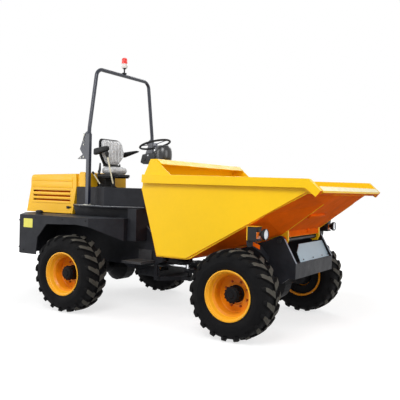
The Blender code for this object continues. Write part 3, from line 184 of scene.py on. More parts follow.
# Primed steel sheet: a flat blue-grey, dented a little between its screws
COVER = surface("grey_primed_sheet", "a6bfcd", 0.42, coat=0.1, shade=0.08, patch=250,
                relief=((2.0, 0.3), (111, 1.2)), dust=0.04)
# Tyre rubber: black and dull on the walls; the bar tops a paler brown-grey, which is painted sheen, and
# rougher
RUBBER = surface("moulded_tyre_rubber", "0b0b0d", 0.78, shade=0.25, patch=143,
                 relief=((1.92, 0.5), (25.0, 0.5)), dust=0.02, specular=0.12)
TREAD = surface("tread_rubber_painted_sheen", "4d4b45", 0.85, shade=0.22, patch=83.3,
                relief=((1.43, 0.6), (11.1, 0.6)), dust=0.05, specular=0.2)
# Nitrile rubber of boots, pads and knobs: black with a weak sheen
SEAL = surface("moulded_nitrile_rubber", "101012", 0.65, shade=0.2, patch=50, relief=((1.25, 0.3),),
               specular=0.3)
# Grained ABS and polypropylene mouldings: soft broken highlights
PLASTIC = surface("grained_abs", "131316", 0.5, shade=0.12, patch=111, relief=((0.77, 0.3),), dust=0.02,
                  specular=0.3)
GREY_PLASTIC = surface("grained_polypropylene", "17181b", 0.46, shade=0.12, patch=111,
                       relief=((0.77, 0.3),), specular=0.4)
# Polished ABS: black with a clear reflection
HOUSING = surface("satin_abs", "1a1a1d", 0.3, coat=0.3, shade=0.12, patch=111, relief=((0.77, 0.2),))
# Self-skinned polyurethane: mid grey, even and dull
SPOKE_PLASTIC = surface("grey_polyurethane", "7d7f88", 0.45, shade=0.12, patch=83.3, relief=((0.91, 0.3),),
                        specular=0.4)
# Steel dipped in ivory plastic: creamy, smooth, slightly glossy
IVORY = surface("ivory_dipped_steel", "d8d0b4", 0.35, coat=0.3, shade=0.08, patch=71.4,
                relief=((2.0, 0.2),))
# Hard chrome, zinc plate, black oxide: a mirror, a yellowish satin and a dark satin
CHROME = surface("hard_chromed_steel", "d8dade", 0.12, metallic=1.0, shade=0.04, patch=83.3,
                 gloss_spread=0.04, relief=((1.11, 0.05),))
ZINC = surface("zinc_plated_steel", "a9a89f", 0.34, metallic=1.0, shade=0.15, patch=25,
               relief=((1.43, 0.2),))
BLACK_STEEL = surface("black_oxide_steel", "1a1a1c", 0.42, metallic=0.6, shade=0.2, patch=33.3,
                      relief=((1.67, 0.3),))
# Iron under matt black paint, deep inside: it only has to stay dark; on the wheels' drums and shields it is
# also painted shade
DARK = surface("matt_black_iron_and_painted_shade", "0c0c0d", 0.9, shade=0.3, patch=83.3, relief=((3.33, 0.5),), specular=0.2)
# Printed vinyl film: flat pale yellow
STICKER = surface("yellow_vinyl_film", "e6de5c", 0.45, shade=0.05, patch=50, relief=((1.11, 0.1),))
# Aluminised steel bowl: a mirror with slight waves
MIRROR = surface("aluminised_reflector", "e6e8ea", 0.14, metallic=1.0, shade=0.04, patch=50,
                 relief=((5.0, 0.4),))
# Vinyl skin on foam: black, soft, finely creased
ARM_VINYL = surface("black_vinyl_skin", "151517", 0.55, shade=0.2, patch=66.7,
                    relief=((1.11, 0.4), (25.0, 0.5)), specular=0.3)
# Rolled tread plate: dark steel, dusty, with raised slanting bars 24 mm apart
TREAD_PLATE = surface("rolled_tread_plate", "222328", 0.45, coat=0.1, shade=0.15, patch=167, dust=0.25)
plate_tree = TREAD_PLATE.node_tree
plate_place = add(plate_tree, "TexCoord").outputs["Object"]
plate_turned = add(plate_tree, "Mapping", Vector=plate_place, Rotation=(0, 0, math.radians(45)))
plate_bars = add(plate_tree, "TexBrick", Vector=plate_turned, Scale=1000 / 23.8, Mortar_Size=0.11,
                 Mortar_Smooth=0.4,
                 Brick_Width=0.9, Row_Height=0.3, Color1=grey(1), Color2=grey(0.9), Mortar=grey(0))
plate_relief = add(plate_tree, "Bump", Strength=0.8, Distance=0.0015, Height=plate_bars)
plate_tree.links.new(plate_relief.outputs[0], plate_tree.nodes["Principled BSDF"].inputs["Normal"])


def lens(name, colour, roughness, transmission, rib=0.0, glow=0.0):
    """A moulded lens, partly clear and with a painted glow, with ribs of a width in millimetres where
    asked.
    """
    material, tree = blank_material(name)
    place = add(tree, "TexCoord").outputs["Object"]
    base = tone(colour)
    cloud = add(tree, "TexNoise", Vector=place, Scale=30.0, Detail=4.0)
    tint = add(tree, "ValToRGB", i0=cloud, stops=[(0.3, tinted(base, 0.88)), (0.7, base)])
    gloss = add(tree, "ValToRGB", i0=cloud, stops=[(0.3, grey(roughness)), (0.7, grey(roughness + 0.08))])
    height = cloud
    if rib:
        ribs = add(tree, "TexWave", Vector=place, Scale=1000 / rib, wave_type="BANDS",
                   bands_direction="DIAGONAL")
        height = ribs.outputs[1]
    relief = add(tree, "Bump", Strength=0.6, Distance=0.001, Height=height)
    shader = add(tree, "BsdfPrincipled", Base_Color=tint, Roughness=gloss, Transmission_Weight=transmission,
                 Coat_Weight=0.4, IOR=1.46, Emission_Color=base, Emission_Strength=glow, Normal=relief)
    add(tree, "OutputMaterial", Surface=shader)
    return material


# Polycarbonate and pressed glass, ribbed inside: a saturated painted glow that stays bright on white
RED_LENS = lens("red_polycarbonate", "e02a1c", 0.18, 0.25, 16.7, 0.25)
AMBER_LENS = lens("amber_polycarbonate", "f07818", 0.18, 0.2, 12.5, 0.15)
CLEAR_LENS = lens("clear_pressed_glass", "e9edf2", 0.1, 0.35, 11.1, 0.15)
# White polycarbonate: milky and even
PALE_BAND = lens("white_polycarbonate", "e8e4e0", 0.3, 0.0)


def wrapped_vinyl(name, colour):
    """Seat vinyl under a clear protective film: soft creases 67 mm apart, darkened with painted shade, a
    glossy film, grain of 1 mm.
    """
    material, tree = blank_material(name)
    place = add(tree, "TexCoord").outputs["Object"]
    base = tone(colour)
    bend = add(tree, "TexNoise", Vector=place, Scale=7.0, Detail=3.0)
    warped = add(tree, "Mix", data_type="VECTOR", i0=0.22, i4=place, i5=bend.outputs[1]).outputs[1]
    crease = add(tree, "TexVoronoi", Vector=warped, Scale=1000 / 66.7, feature="DISTANCE_TO_EDGE")
    # Dark lines along the creases: painted shade, and the height of the creases' relief
    crease_shade_and_relief = add(tree, "ValToRGB", i0=crease, stops=[(0.0, grey(0.25)), (0.1, grey(0.85)), (0.5, grey(1.0))])
    cloud = add(tree, "TexNoise", Vector=place, Scale=11.0, Detail=5.0)
    body = add(tree, "ValToRGB", i0=cloud, stops=[(0.3, tinted(base, 0.82)), (0.7, base)])
    shaded = add(tree, "Mix", data_type="RGBA", blend_type="MULTIPLY", i0=0.35, i6=body, i7=crease_shade_and_relief).outputs[2]
    gloss = add(tree, "ValToRGB", i0=cloud, stops=[(0.3, grey(0.34)), (0.7, grey(0.55))])
    grain = add(tree, "TexNoise", Vector=place, Scale=1000 / 1.11, Detail=2.0)
    small = add(tree, "Bump", Strength=1.0, Distance=0.0003, Height=grain)
    large = add(tree, "Bump", Strength=0.7, Distance=0.006, Height=crease_shade_and_relief, Normal=small)
    shader = add(tree, "BsdfPrincipled", Base_Color=shaded, Roughness=gloss, Coat_Weight=0.6,
                 Coat_Roughness=0.18, Sheen_Weight=0.1, Normal=large)
    add(tree, "OutputMaterial", Surface=shader)
    return material


SEAT_VINYL = wrapped_vinyl("film_wrapped_vinyl", "d9dadc")


# Mesh helpers
def piece(name, bm, material, body, smooth=35, slots=()):
    """The bmesh as an object that rides on a body, smooth where faces meet at less than some degrees."""
    bmesh.ops.recalc_face_normals(bm, faces=bm.faces)
    mesh = bpy.data.meshes.new(name)
    bm.to_mesh(mesh)
    bm.free()
    for finish in (material, *slots):
        mesh.materials.append(finish)
    mesh.shade_smooth()
    mesh.set_sharp_from_angle(angle=math.radians(smooth))
    made = bpy.data.objects.new(name, mesh)
    bpy.context.scene.collection.objects.link(made)
    if body:
        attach(made, body)
    return made


def soften(bm, width, segments=2, angle=30):
    """Rounds every edge of the bmesh that is sharper than an angle."""
    bmesh.ops.dissolve_limit(bm, angle_limit=math.radians(1.0), verts=bm.verts, edges=bm.edges)
    bm.normal_update()
    edges = [e for e in bm.edges if len(e.link_faces) == 2 and e.calc_face_angle(0) > math.radians(angle)]
    bmesh.ops.bevel(bm, geom=edges, offset=width, offset_type="OFFSET", segments=segments, profile=0.5,
                    affect="EDGES", clamp_overlap=True, material=-1)


def add_box(bm, low, high, width=0.0, segments=2, matrix=None):
    """A box, its edges rounded, added to the bmesh."""
    part = bmesh.new()
    size = Vector(high) - Vector(low)
    made = bmesh.ops.create_cube(part, size=1.0)
    bmesh.ops.scale(part, vec=size, verts=made["verts"])
    bmesh.ops.translate(part, vec=(Vector(low) + Vector(high)) / 2, verts=made["verts"])
    join(bm, part, width, segments, matrix)


def join(bm, part, width=0.0, segments=2, matrix=None, angle=30):
    """Adds one bmesh to another, with its edges rounded."""
    bmesh.ops.recalc_face_normals(part, faces=part.faces)
    if width:
        soften(part, width, segments, angle)
    if matrix is not None:
        bmesh.ops.transform(part, matrix=matrix, verts=part.verts)
    mesh = bpy.data.meshes.new("part")
    part.to_mesh(mesh)
    part.free()
    bm.from_mesh(mesh)
    bpy.data.meshes.remove(mesh)


PLANES = {
    "XZ": lambda a, b, across: at(a, across, b),
    "XY": lambda a, b, across: at(a, b, across),
    "YZ": lambda a, b, across: at(across, a, b),
}


def add_plate(bm, outline, low, high, plane="XZ", width=0.002, segments=2):
    """An outline with thickness: (x, z) points across Y, (x, y) across Z or (y, z) across X."""
    part = bmesh.new()
    place = PLANES[plane]
    face = part.faces.new([part.verts.new(place(a, b, low)) for a, b in outline])
    raised = bmesh.ops.extrude_face_region(part, geom=[face])["geom"]
    far = [v for v in raised if isinstance(v, bmesh.types.BMVert)]
    bmesh.ops.translate(part, vec=place(0, 0, high) - place(0, 0, low), verts=far)
    if len(part.faces) == len(outline) + 1:
        bmesh.ops.holes_fill(part, edges=part.edges)
    join(bm, part, width, segments)


def add_sided(bm, outline, side, near, far, plane="XZ", width=0.002, segments=2):
    """A plate on one side of the machine, between two distances from its middle."""
    low, high = sorted((side * near, side * far))
    add_plate(bm, outline, low, high, plane, width, segments)


def rectangle(a0, b0, a1, b1):
    """The corners of a rectangle as an outline."""
    return [(a0, b0), (a1, b0), (a1, b1), (a0, b1)]


def add_lathe(bm, profile, centre, direction, steps=48):
    """(radius, distance) pairs spun round an axis, from axis to axis or back to the start."""
    part = bmesh.new()
    loop = (Vector(profile[0]) - Vector(profile[-1])).length < 1e-6
    pairs = profile[:-1] if loop else profile
    verts = [part.verts.new((radius, 0, distance)) for radius, distance in pairs]
    edges = [part.edges.new(pair) for pair in zip(verts, verts[1:])]
    if loop:
        edges.append(part.edges.new((verts[-1], verts[0])))
    bmesh.ops.spin(part, geom=verts + edges, cent=(0, 0, 0), axis=(0, 0, 1), dvec=(0, 0, 0),
                   angle=2 * math.pi, steps=steps, use_merge=True)
    bmesh.ops.remove_doubles(part, verts=part.verts, dist=1e-6)
    turn = Vector(direction).to_track_quat("Z", "Y").to_matrix().to_4x4()
    join(bm, part, matrix=Matrix.Translation(centre) @ turn)


def add_ring(bm, centre, direction, radius, thick, steps=64, sides=10):
    """A round wire bent into a ring."""
    angles = [2 * math.pi * k / sides for k in range(sides)]
    circle = [(radius + thick * math.cos(a), thick * math.sin(a)) for a in angles]
    add_lathe(bm, circle + circle[:1], centre, direction, steps)


def add_rod(bm, start, end, radius, steps=20, end_radius=None, round_by=0.0):
    """A round bar between two points with slightly rounded ends."""
    start, end = Vector(start), Vector(end)
    length = (end - start).length
    tip = radius if end_radius is None else end_radius
    r = min(round_by or min(radius, tip) * 0.15, length * 0.4)
    foot = [(0, 0), (radius - r, 0), (radius - r * 0.3, r * 0.3), (radius, r)]
    head = [(tip, length - r), (tip - r * 0.3, length - r * 0.3), (tip - r, length), (0, length)]
    add_lathe(bm, foot + head, start, end - start, steps)


def add_tube(bm, points, radius, steps=12, bend=0.0, closed=False, turns=5):
    """A round tube along points, its corners bent to a radius."""
    points = [Vector(p) for p in points]
    path = []
    for i, p in enumerate(points):
        if bend and 0 < i < len(points) - 1:
            back, forth = points[i - 1] - p, points[i + 1] - p
            reach = min(bend, back.length * 0.45, forth.length * 0.45)
            a, b = p + back.normalized() * reach, p + forth.normalized() * reach
            for k in range(turns + 1):
                t = k / turns
                path.append(a.lerp(p, t).lerp(p.lerp(b, t), t))
        else:
            path.append(p)
    sweep(bm, path, [radius] * len(path), steps, closed)


def sweep(bm, path, radii, steps, closed=False):
    """A circle extruded along a path, from one radius to the next."""
    places = []
    side = None
    for i, p in enumerate(path):
        if closed:
            ahead = path[(i + 1) % len(path)] - path[i - 1]
        else:
            ahead = path[min(i + 1, len(path) - 1)] - path[max(i - 1, 0)]
        ahead.normalize()
        if side is None:
            side = ahead.orthogonal().normalized()
        side = (side - ahead * side.dot(ahead)).normalized()
        frame_here = Matrix((side, ahead.cross(side), ahead)).transposed().to_4x4()
        places.append(Matrix.Translation(p) @ frame_here @ Matrix.Scale(radii[i], 4))
    part = bmesh.new()
    bmesh.ops.create_circle(part, segments=steps, radius=1.0, matrix=places[0])
    first = ring = list(part.edges)
    for before, after in zip(places, places[1:]):
        made = bmesh.ops.extrude_edge_only(part, edges=ring)["geom"]
        verts = [v for v in made if isinstance(v, bmesh.types.BMVert)]
        fresh = set(verts)
        made_edges = [e for e in made if isinstance(e, bmesh.types.BMEdge)]
        ring = [e for e in made_edges if e.verts[0] in fresh and e.verts[1] in fresh]
        bmesh.ops.transform(part, matrix=after @ before.inverted(), verts=verts)
    if closed:
        bmesh.ops.bridge_loops(part, edges=first + ring)
    else:
        bmesh.ops.holes_fill(part, edges=part.edges)
    join(bm, part)


def add_bolt(bm, spot, direction, size, washer=True):
    """A hexagon head on its washer, standing out along a direction."""
    spot, direction = Vector(spot), Vector(direction).normalized()
    base = spot - direction * 0.001
    if washer:
        disc = [(0, 0), (size * 1.05, 0), (size * 1.1, 0.0006), (size * 1.08, 0.003), (0, 0.003)]
        add_lathe(bm, disc, base, direction, 16)
    head = [(0, 0), (size * 0.86, 0), (size * 0.86, size * 0.62), (size * 0.72, size * 0.78),
            (0, size * 0.78)]
    add_lathe(bm, head, spot + direction * (0.0015 if washer else -0.001), direction, 6)


def add_bead(bm, points, radius):
    """A weld bead along points: a flattened tube with ripples."""
    points = [Vector(p) for p in points]
    path = []
    for a, b in zip(points, points[1:]):
        count = max(2, int((b - a).length / 0.006))
        path += [a.lerp(b, i / count) for i in range(count)]
    path.append(points[-1])
    sweep(bm, path, [radius * (1.22 if i % 2 else 0.78) for i in range(len(path))], 6)


def ring_points(centre, direction, radius, count):
    """Points evenly round an axis."""
    turn = Vector(direction).to_track_quat("Z", "Y").to_matrix()
    angles = [2 * math.pi * i / count for i in range(count)]
    return [Vector(centre) + turn @ Vector((radius * math.cos(a), radius * math.sin(a), 0)) for a in angles]


def wheel_points(radius, count, phase=0.0):
    """Offsets evenly round a wheel's middle, from its front upwards."""
    angles = [2 * math.pi * (i + phase) / count for i in range(count)]
    return [Vector((radius * math.cos(a), 0, radius * math.sin(a))) for a in angles]


def curved(points, radius, steps=4):
    """A closed outline of (a, b) points with its corners rounded."""
    out = []
    for i, point in enumerate(points):
        here, before, after = Vector(point), Vector(points[i - 1]), Vector(points[(i + 1) % len(points)])
        first = here + (before - here).normalized() * min(radius, (before - here).length * 0.45)
        last = here + (after - here).normalized() * min(radius, (after - here).length * 0.45)
        for k in range(steps + 1):
            t = k / steps
            out.append(tuple(first.lerp(here, t).lerp(here.lerp(last, t), t)))
    return out


def dress(names, material, edge=0.0025, segments=2, angle=28):
    """CAD nodes that keep their shape get a finish and rounded edges."""
    for name in names:
        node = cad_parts[name]
        for slot in node.material_slots:
            slot.link = "OBJECT"
            slot.material = material
        weld = node.modifiers.new("Weld", "WELD")
        weld.merge_threshold = 0.00005
        flat = node.modifiers.new("Flat", "DECIMATE")
        flat.decimate_type = "DISSOLVE"
        flat.angle_limit = math.radians(0.8)
        bevel = node.modifiers.new("Edges", "BEVEL")
        bevel.affect = "EDGES"
        bevel.width = edge
        bevel.segments = segments
        bevel.profile = 0.5
        bevel.limit_method = "ANGLE"
        bevel.angle_limit = math.radians(angle)
        bevel.material = -1
        bevel.harden_normals = False


# Camera, its place and turn fitted to the wheels in the photo
CAMERA_SPOT = (3.733, -5.559, 1.364)
camera_data = bpy.data.cameras.new("camera")
camera_data.lens = 52.99
camera_data.sensor_width = 36.0
camera_data.clip_end = 60
camera = bpy.data.objects.new("camera", camera_data)
bpy.context.scene.collection.objects.link(camera)
bpy.context.scene.camera = camera
yaw, pitch, roll = math.radians(31.78), math.radians(-1.08), math.radians(1.5)
ahead = Vector((-math.sin(yaw) * math.cos(pitch), math.cos(yaw) * math.cos(pitch), math.sin(pitch)))
level = Vector((math.cos(yaw), math.sin(yaw), 0))
lift = level.cross(ahead)
right = level * math.cos(roll) + lift * math.sin(roll)
up = lift * math.cos(roll) - level * math.sin(roll)
camera.matrix_world = Matrix.Translation(CAMERA_SPOT) @ Matrix((right, up, -ahead)).transposed().to_4x4()


# Floor, backdrop and lamps
def seen_directly(tree):
    """1 for what the camera, a reflection or a clear lens looks at, 0 for light that bounces on."""
    path = add(tree, "LightPath").outputs
    mirrored = add(tree, "Math", operation="MAXIMUM", i0=path["Is Glossy Ray"],
                   i1=path["Is Transmission Ray"])
    return add(tree, "Math", operation="MAXIMUM", i0=path["Is Camera Ray"], i1=mirrored)


def studio_board(reach):
    """Matt board, white to the eye except in the object's soft shadow, and wholly white from a reach on."""
    material, tree = blank_material("matt_studio_board")
    place = add(tree, "TexCoord").outputs["Object"]
    far = add(tree, "VectorMath", operation="LENGTH", i0=place).outputs["Value"]
    share = add(tree, "Math", operation="DIVIDE", i0=far, i1=reach)
    near = add(tree, "ValToRGB", i0=share, stops=[(0.42, grey(1.0)), (0.95, grey(0.0))])
    cloud = add(tree, "TexNoise", Vector=place, Scale=3.0, Detail=4.0)
    tint = add(tree, "ValToRGB", i0=cloud, stops=[(0.3, grey(0.38)), (0.7, grey(0.42))])
    glow = add(tree, "Math", operation="MULTIPLY_ADD", i0=near, i1=-0.36, i2=1.06)
    lit = add(tree, "Math", operation="MULTIPLY", i0=glow, i1=seen_directly(tree))
    shader = add(tree, "BsdfPrincipled", Base_Color=tint, Roughness=0.95, Specular_IOR_Level=0.1,
                 Emission_Color=grey(1.0), Emission_Strength=lit)
    add(tree, "OutputMaterial", Surface=shader)
    return material


bm = bmesh.new()
bmesh.ops.create_grid(bm, x_segments=2, y_segments=2, size=30)
floor = piece("floor", bm, studio_board(6.0), None)
world = bpy.data.worlds.new("studio")
bpy.context.scene.world = world
world.use_nodes = True
sky = world.node_tree
backdrop = sky.nodes["Background"]
backdrop.inputs["Color"].default_value = grey(1.0)
brightness = add(sky, "Mix", data_type="FLOAT", i0=seen_directly(sky), i2=0.36, i3=1.0)
sky.links.new(brightness.outputs[0], backdrop.inputs["Strength"])


def lamp(name, spot, target, size, power):
    """A rectangular soft lamp that faces a target."""
    data = bpy.data.lights.new(name, "AREA")
    data.shape = "RECTANGLE"
    data.size, data.size_y = size
    data.energy = power
    light = bpy.data.objects.new(name, data)
    bpy.context.scene.collection.objects.link(light)
    light.location = spot
    light.rotation_mode = "QUATERNION"
    light.rotation_quaternion = (Vector(target) - Vector(spot)).to_track_quat("-Z", "Y")


lamp("key", (2.0, -6.0, 6.0), (0.2, 0, 0.9), (4.0, 3.0), 340)
lamp("fill", (-5.0, -4.5, 3.0), (-0.3, 0, 0.9), (4.0, 4.0), 150)
lamp("front", (6.0, -1.5, 3.0), (0.6, 0, 0.9), (3.0, 3.0), 100)
lamp("rim", (-1.0, 6.0, 5.5), (0, 0, 1.0), (5.0, 3.0), 150)


# Tyres, rims and hubs, each listed as (radius, distance from the wheel's middle plane)
CARCASS = [
    (0.2348, 0.1268), (0.244, 0.137), (0.248, 0.1392), (0.253, 0.1392), (0.256, 0.142), (0.27, 0.149),
    (0.29, 0.1526), (0.296, 0.1524), (0.3, 0.1535), (0.306, 0.1535), (0.31, 0.1518), (0.33, 0.148),
    (0.352, 0.1412), (0.37, 0.132), (0.38, 0.118), (0.387, 0.1), (0.3915, 0.07), (0.394, 0.035),
    (0.3945, 0.0),
]
# Along one bar: offset, radius, lag in degrees, depth's direction (offset, radius), half widths of the
# leading and the trailing part, depth. A wide block at the crown runs out into a narrow tail.
BAR = [
    (0.004, 0.4155, 0.0, (0.0, 1.0), 0.026, 0.037, 0.03),
    (0.04, 0.4155, 2.8, (0.0, 1.0), 0.026, 0.037, 0.03),
    (0.052, 0.4152, 3.8, (0.0, 1.0), 0.027, 0.0225, 0.03),
    (0.078, 0.4143, 6.0, (0.05, 1.0), 0.0285, 0.0225, 0.03),
    (0.102, 0.4115, 8.0, (0.15, 0.98), 0.0285, 0.0225, 0.031),
    (0.122, 0.4062, 9.7, (0.4, 0.92), 0.0265, 0.0205, 0.03),
    (0.137, 0.396, 11.0, (0.7, 0.71), 0.022, 0.016, 0.026),
    (0.146, 0.38, 12.0, (0.9, 0.4), 0.017, 0.011, 0.016),
    (0.15, 0.362, 12.6, (1.0, 0.0), 0.012, 0.007, 0.008),
]
# Root, flank and top on one edge of a bar, then back along the other: side, share of the depth, spread
BAR_EDGES = [(-1, 1.0, 0.007), (-1, 0.16, 0.001), (-1, 0.0, -0.0015), (1, 0.0, -0.0015),
             (1, 0.16, 0.001), (1, 1.0, 0.007)]
BARS_PER_SIDE = 20
TREAD_HALF = 0.143
PAINTED_HIGHLIGHT_FROM = 0.056
RIM_PROFILE = [
    (0.06, -0.06), (0.164, -0.06), (0.172, -0.0585), (0.1745, -0.062), (0.195, -0.072), (0.215, -0.136),
    (0.223, -0.137), (0.232, -0.136), (0.2334, -0.133), (0.2325, -0.1285), (0.212, -0.1225),
    (0.205, -0.065), (0.185, -0.05), (0.185, 0.045), (0.205, 0.06), (0.2115, 0.1215), (0.2325, 0.1285),
    (0.2334, 0.1315), (0.2332, 0.135), (0.23, 0.1368), (0.223, 0.137), (0.2205, 0.134), (0.2185, 0.127),
    (0.2165, 0.118), (0.2085, 0.112), (0.204, 0.104), (0.201, 0.07), (0.196, 0.062), (0.18, 0.05),
    (0.1765, 0.044), (0.1755, -0.03), (0.174, -0.043), (0.169, -0.0475), (0.15, -0.049), (0.14, -0.045),
    (0.1, -0.044), (0.094, -0.048), (0.06, -0.048), (0.06, -0.06),
]
BRAKE_DRUM = [
    (0.125, -0.0606), (0.172, -0.0606), (0.1735, -0.065), (0.17, -0.07), (0.166, -0.104), (0.162, -0.108),
    (0.13, -0.108), (0.125, -0.104), (0.125, -0.0606),
]
# The rear shields reach over the flange, the front ones end inside it; both darken the wheel's inside as
# painted shade
SHIELD_EDGES = {
    "front": [(0.2085, -0.1225), (0.204, -0.124)],
    "rear": [(0.213, -0.1385), (0.232, -0.1385), (0.232, -0.14), (0.2118, -0.14)],
}
HUB_PROFILE = [
    (0, -0.081), (0.108, -0.081), (0.11, -0.079), (0.11, -0.0625), (0.108, -0.0605), (0.0594, -0.0605),
    (0.0594, -0.0475), (0.08, -0.0475), (0.081, -0.046), (0.08, -0.036), (0.07, -0.03), (0.0675, -0.026),
    (0.067, 0.015), (0.069, 0.02), (0.073, 0.022), (0.073, 0.047), (0.07, 0.05), (0.066, 0.051),
    (0.0645, 0.062), (0.06, 0.066), (0.046, 0.069), (0.042, 0.068), (0.034, 0.068), (0.032, 0.071),
    (0.028, 0.076), (0, 0.0775),
]


def tyre(name, centre):
    """A round carcass with slanting bars that meet in turn at the crown."""
    bm = bmesh.new()
    outline = CARCASS + [(r, -y) for r, y in reversed(CARCASS[:-1])]
    add_lathe(bm, outline + outline[:1], centre, (0, 1, 0), 120)
    for hand in (-1, 1):
        part = bmesh.new()
        start = math.radians((0.25 if hand > 0 else 0.75) * 360 / BARS_PER_SIDE)
        face = None
        for offset, radius, lag, (out_y, out_r), lead, trail, depth in BAR:
            section = []
            for sign, down, spread in BAR_EDGES:
                half = (lead if sign > 0 else trail) + spread
                angle = start - math.radians(lag) + sign * half / radius
                reach = radius - out_r * depth * down
                aside = hand * (offset - out_y * depth * down)
                section.append(Vector((reach * math.sin(angle), aside, reach * math.cos(angle))))
            if face is None:
                face = part.faces.new([part.verts.new(spot) for spot in section])
            else:
                face = bmesh.ops.extrude_discrete_faces(part, faces=[face])["faces"][0]
                for vert, spot in zip(face.verts, section):
                    vert.co = spot
        bmesh.ops.holes_fill(part, edges=part.edges)
        bmesh.ops.recalc_face_normals(part, faces=part.faces)
        # Outward faces of the bars take the paler second slot: painted sheen
        for face in part.faces:
            middle = face.calc_center_median()
            outward = Vector((middle.x, 0, middle.z)).normalized()
            if abs(middle.y) < TREAD_HALF and face.normal.dot(outward) > 0.7:
                face.material_index = 1
        whole = part.verts[:] + part.edges[:] + part.faces[:]
        bmesh.ops.spin(part, geom=whole, cent=(0, 0, 0), axis=(0, 1, 0), dvec=(0, 0, 0), use_duplicate=True,
                       angle=2 * math.pi * (BARS_PER_SIDE - 1) / BARS_PER_SIDE, steps=BARS_PER_SIDE - 1)
        join(bm, part, matrix=Matrix.Translation(centre))
    made = piece("tyre_detail_" + name, bm, RUBBER, "wheel_" + name, 40, (TREAD,))
    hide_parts("tyre_" + name)


def rim(name, centre, out):
    """Pressed rim and disc with its weld, studs and nuts, and the brake drum and dust shield behind; the
    paler flange is painted highlight, the darker nuts and the near-black drum and shield are painted shade.
    """
    body = "wheel_" + name
    bm = bmesh.new()
    add_lathe(bm, RIM_PROFILE, centre, out, 72)
    valve = centre + Vector((0.15, 0, 0.075))
    add_rod(bm, valve + out * -0.046, valve + out * -0.01, 0.006, 10)
    # Faces out past the flange line take the paler copy as painted highlight; the rest keep the deeper
    # orange as painted shade
    for face in bm.faces:
        if (face.calc_center_median() - centre).dot(out) > PAINTED_HIGHLIGHT_FROM:
            face.material_index = 1
    made = piece("rim_detail_" + name, bm, WHEEL_PAINT, body, 32, (RIM_HIGHLIGHT,))
    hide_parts("rim_" + name)
    bm = bmesh.new()
    add_ring(bm, centre + out * -0.046, out, 0.1757, 0.0035, 96, 6)
    piece("rim_weld_" + name, bm, WHEEL_PAINT, body)
    # Nuts and studs in the darker copy of the wheel orange: painted shade
    bm = bmesh.new()
    for offset in wheel_points(0.118, 8, 0.5):
        add_bolt(bm, centre + offset + out * -0.044, out, 0.012)
        add_rod(bm, centre + offset + out * -0.04, centre + offset + out * -0.024, 0.006, 10)
    piece("wheel_nuts_" + name, bm, NUT_SHADE_PAINT, body)
    # Near-black drum and shield behind the disc: real parts that also paint the shade inside the wheel
    bm = bmesh.new()
    add_lathe(bm, BRAKE_DRUM, centre, out, 56)
    for spot in ring_points(centre + out * -0.108, out, 0.146, 12):
        add_bolt(bm, spot, -out, 0.006, washer=False)
    piece("brake_drum_" + name, bm, DARK, body)
    bm = bmesh.new()
    edge = SHIELD_EDGES["rear" if "rear" in name else "front"]
    shield = [(0.126, -0.114), (0.204, -0.114), *edge, (0.201, -0.116), (0.126, -0.116), (0.126, -0.114)]
    add_lathe(bm, shield, centre, out, 56)
    piece("dust_shield_" + name, bm, DARK, body)


def hub(name, centre, out):
    """Reduction hub: a neck through the disc, a scalloped flange of bolts and a domed end cover."""
    bm = bmesh.new()
    add_lathe(bm, HUB_PROFILE, centre, out, 60)
    for offset in wheel_points(0.074, 14):
        add_rod(bm, centre + offset + out * 0.0225, centre + offset + out * 0.0465, 0.0078, 12)
        add_bolt(bm, centre + offset * 0.99 + out * 0.0465, out, 0.0055, washer=False)
    for offset in wheel_points(0.054, 6, 0.5):
        add_bolt(bm, centre + offset + out * 0.067, out, 0.0045, washer=False)
    made = piece("hub_detail_" + name, bm, CAST, "wheel_" + name, 32)
    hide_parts("hub_" + name)


for end_name, station in (("front", WHEELBASE), ("rear", 0.0)):
    for side_name, side in (("left", 1), ("right", -1)):
        wheel_name = end_name + "_" + side_name
        wheel_centre = at(station, side * HALF_TRACK, TYRE_RADIUS)
        tyre(wheel_name, wheel_centre)
        rim(wheel_name, wheel_centre, Vector((0, side, 0)))
        hub(wheel_name, wheel_centre, Vector((0, side, 0)))


# Skip: a film of painted shade under its sheets, a painted highlight along the lip, welds, hinge boss and
# stop bar
FILM_PROUD = 0.001
FILM_THICK = 0.0006
RIM_UNDER = 1.39


def takes_painted_shade(face):
    """Faces that look down, below the rim box and clear of the hinge pin: these get the painted shade."""
    middle = face.calc_center_median()
    from_pin = (middle - at(SKIP_PIN[0], middle.y, SKIP_PIN[1])).length
    return face.normal.z <= -0.2 and middle.z <= RIM_UNDER and from_pin >= 0.05


# Down-facing faces, copied a millimetre out as a film in the deep orange painted shade
for name in ("skip_tub", "skip_side_left", "skip_side_right"):
    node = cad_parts[name]
    bm = bmesh.new()
    bm.from_mesh(node.data)
    bmesh.ops.transform(bm, matrix=node.matrix_world, verts=bm.verts)
    bmesh.ops.remove_doubles(bm, verts=bm.verts, dist=1e-5)
    bm.normal_update()
    bmesh.ops.delete(bm, geom=[face for face in bm.faces if not takes_painted_shade(face)], context="FACES")
    bm.normal_update()
    for vert in bm.verts:
        vert.co += vert.normal * FILM_PROUD
    bmesh.ops.solidify(bm, geom=bm.faces, thickness=FILM_THICK)
    piece(name + "_underside_shade", bm, ORANGE_PAINTED_SHADE, "skip", 5)
# A pale band on the lip's chamfer: a painted highlight
bm = bmesh.new()
lip = [(2.803, 1.411), (2.8405, 1.3755), (2.8411, 1.3762), (2.8037, 1.4117)]
add_plate(bm, lip, -0.856, 0.856, "XZ", 0.0003, 1)
piece("skip_lip_highlight", bm, LIP_HIGHLIGHT, "skip")
bm = bmesh.new()
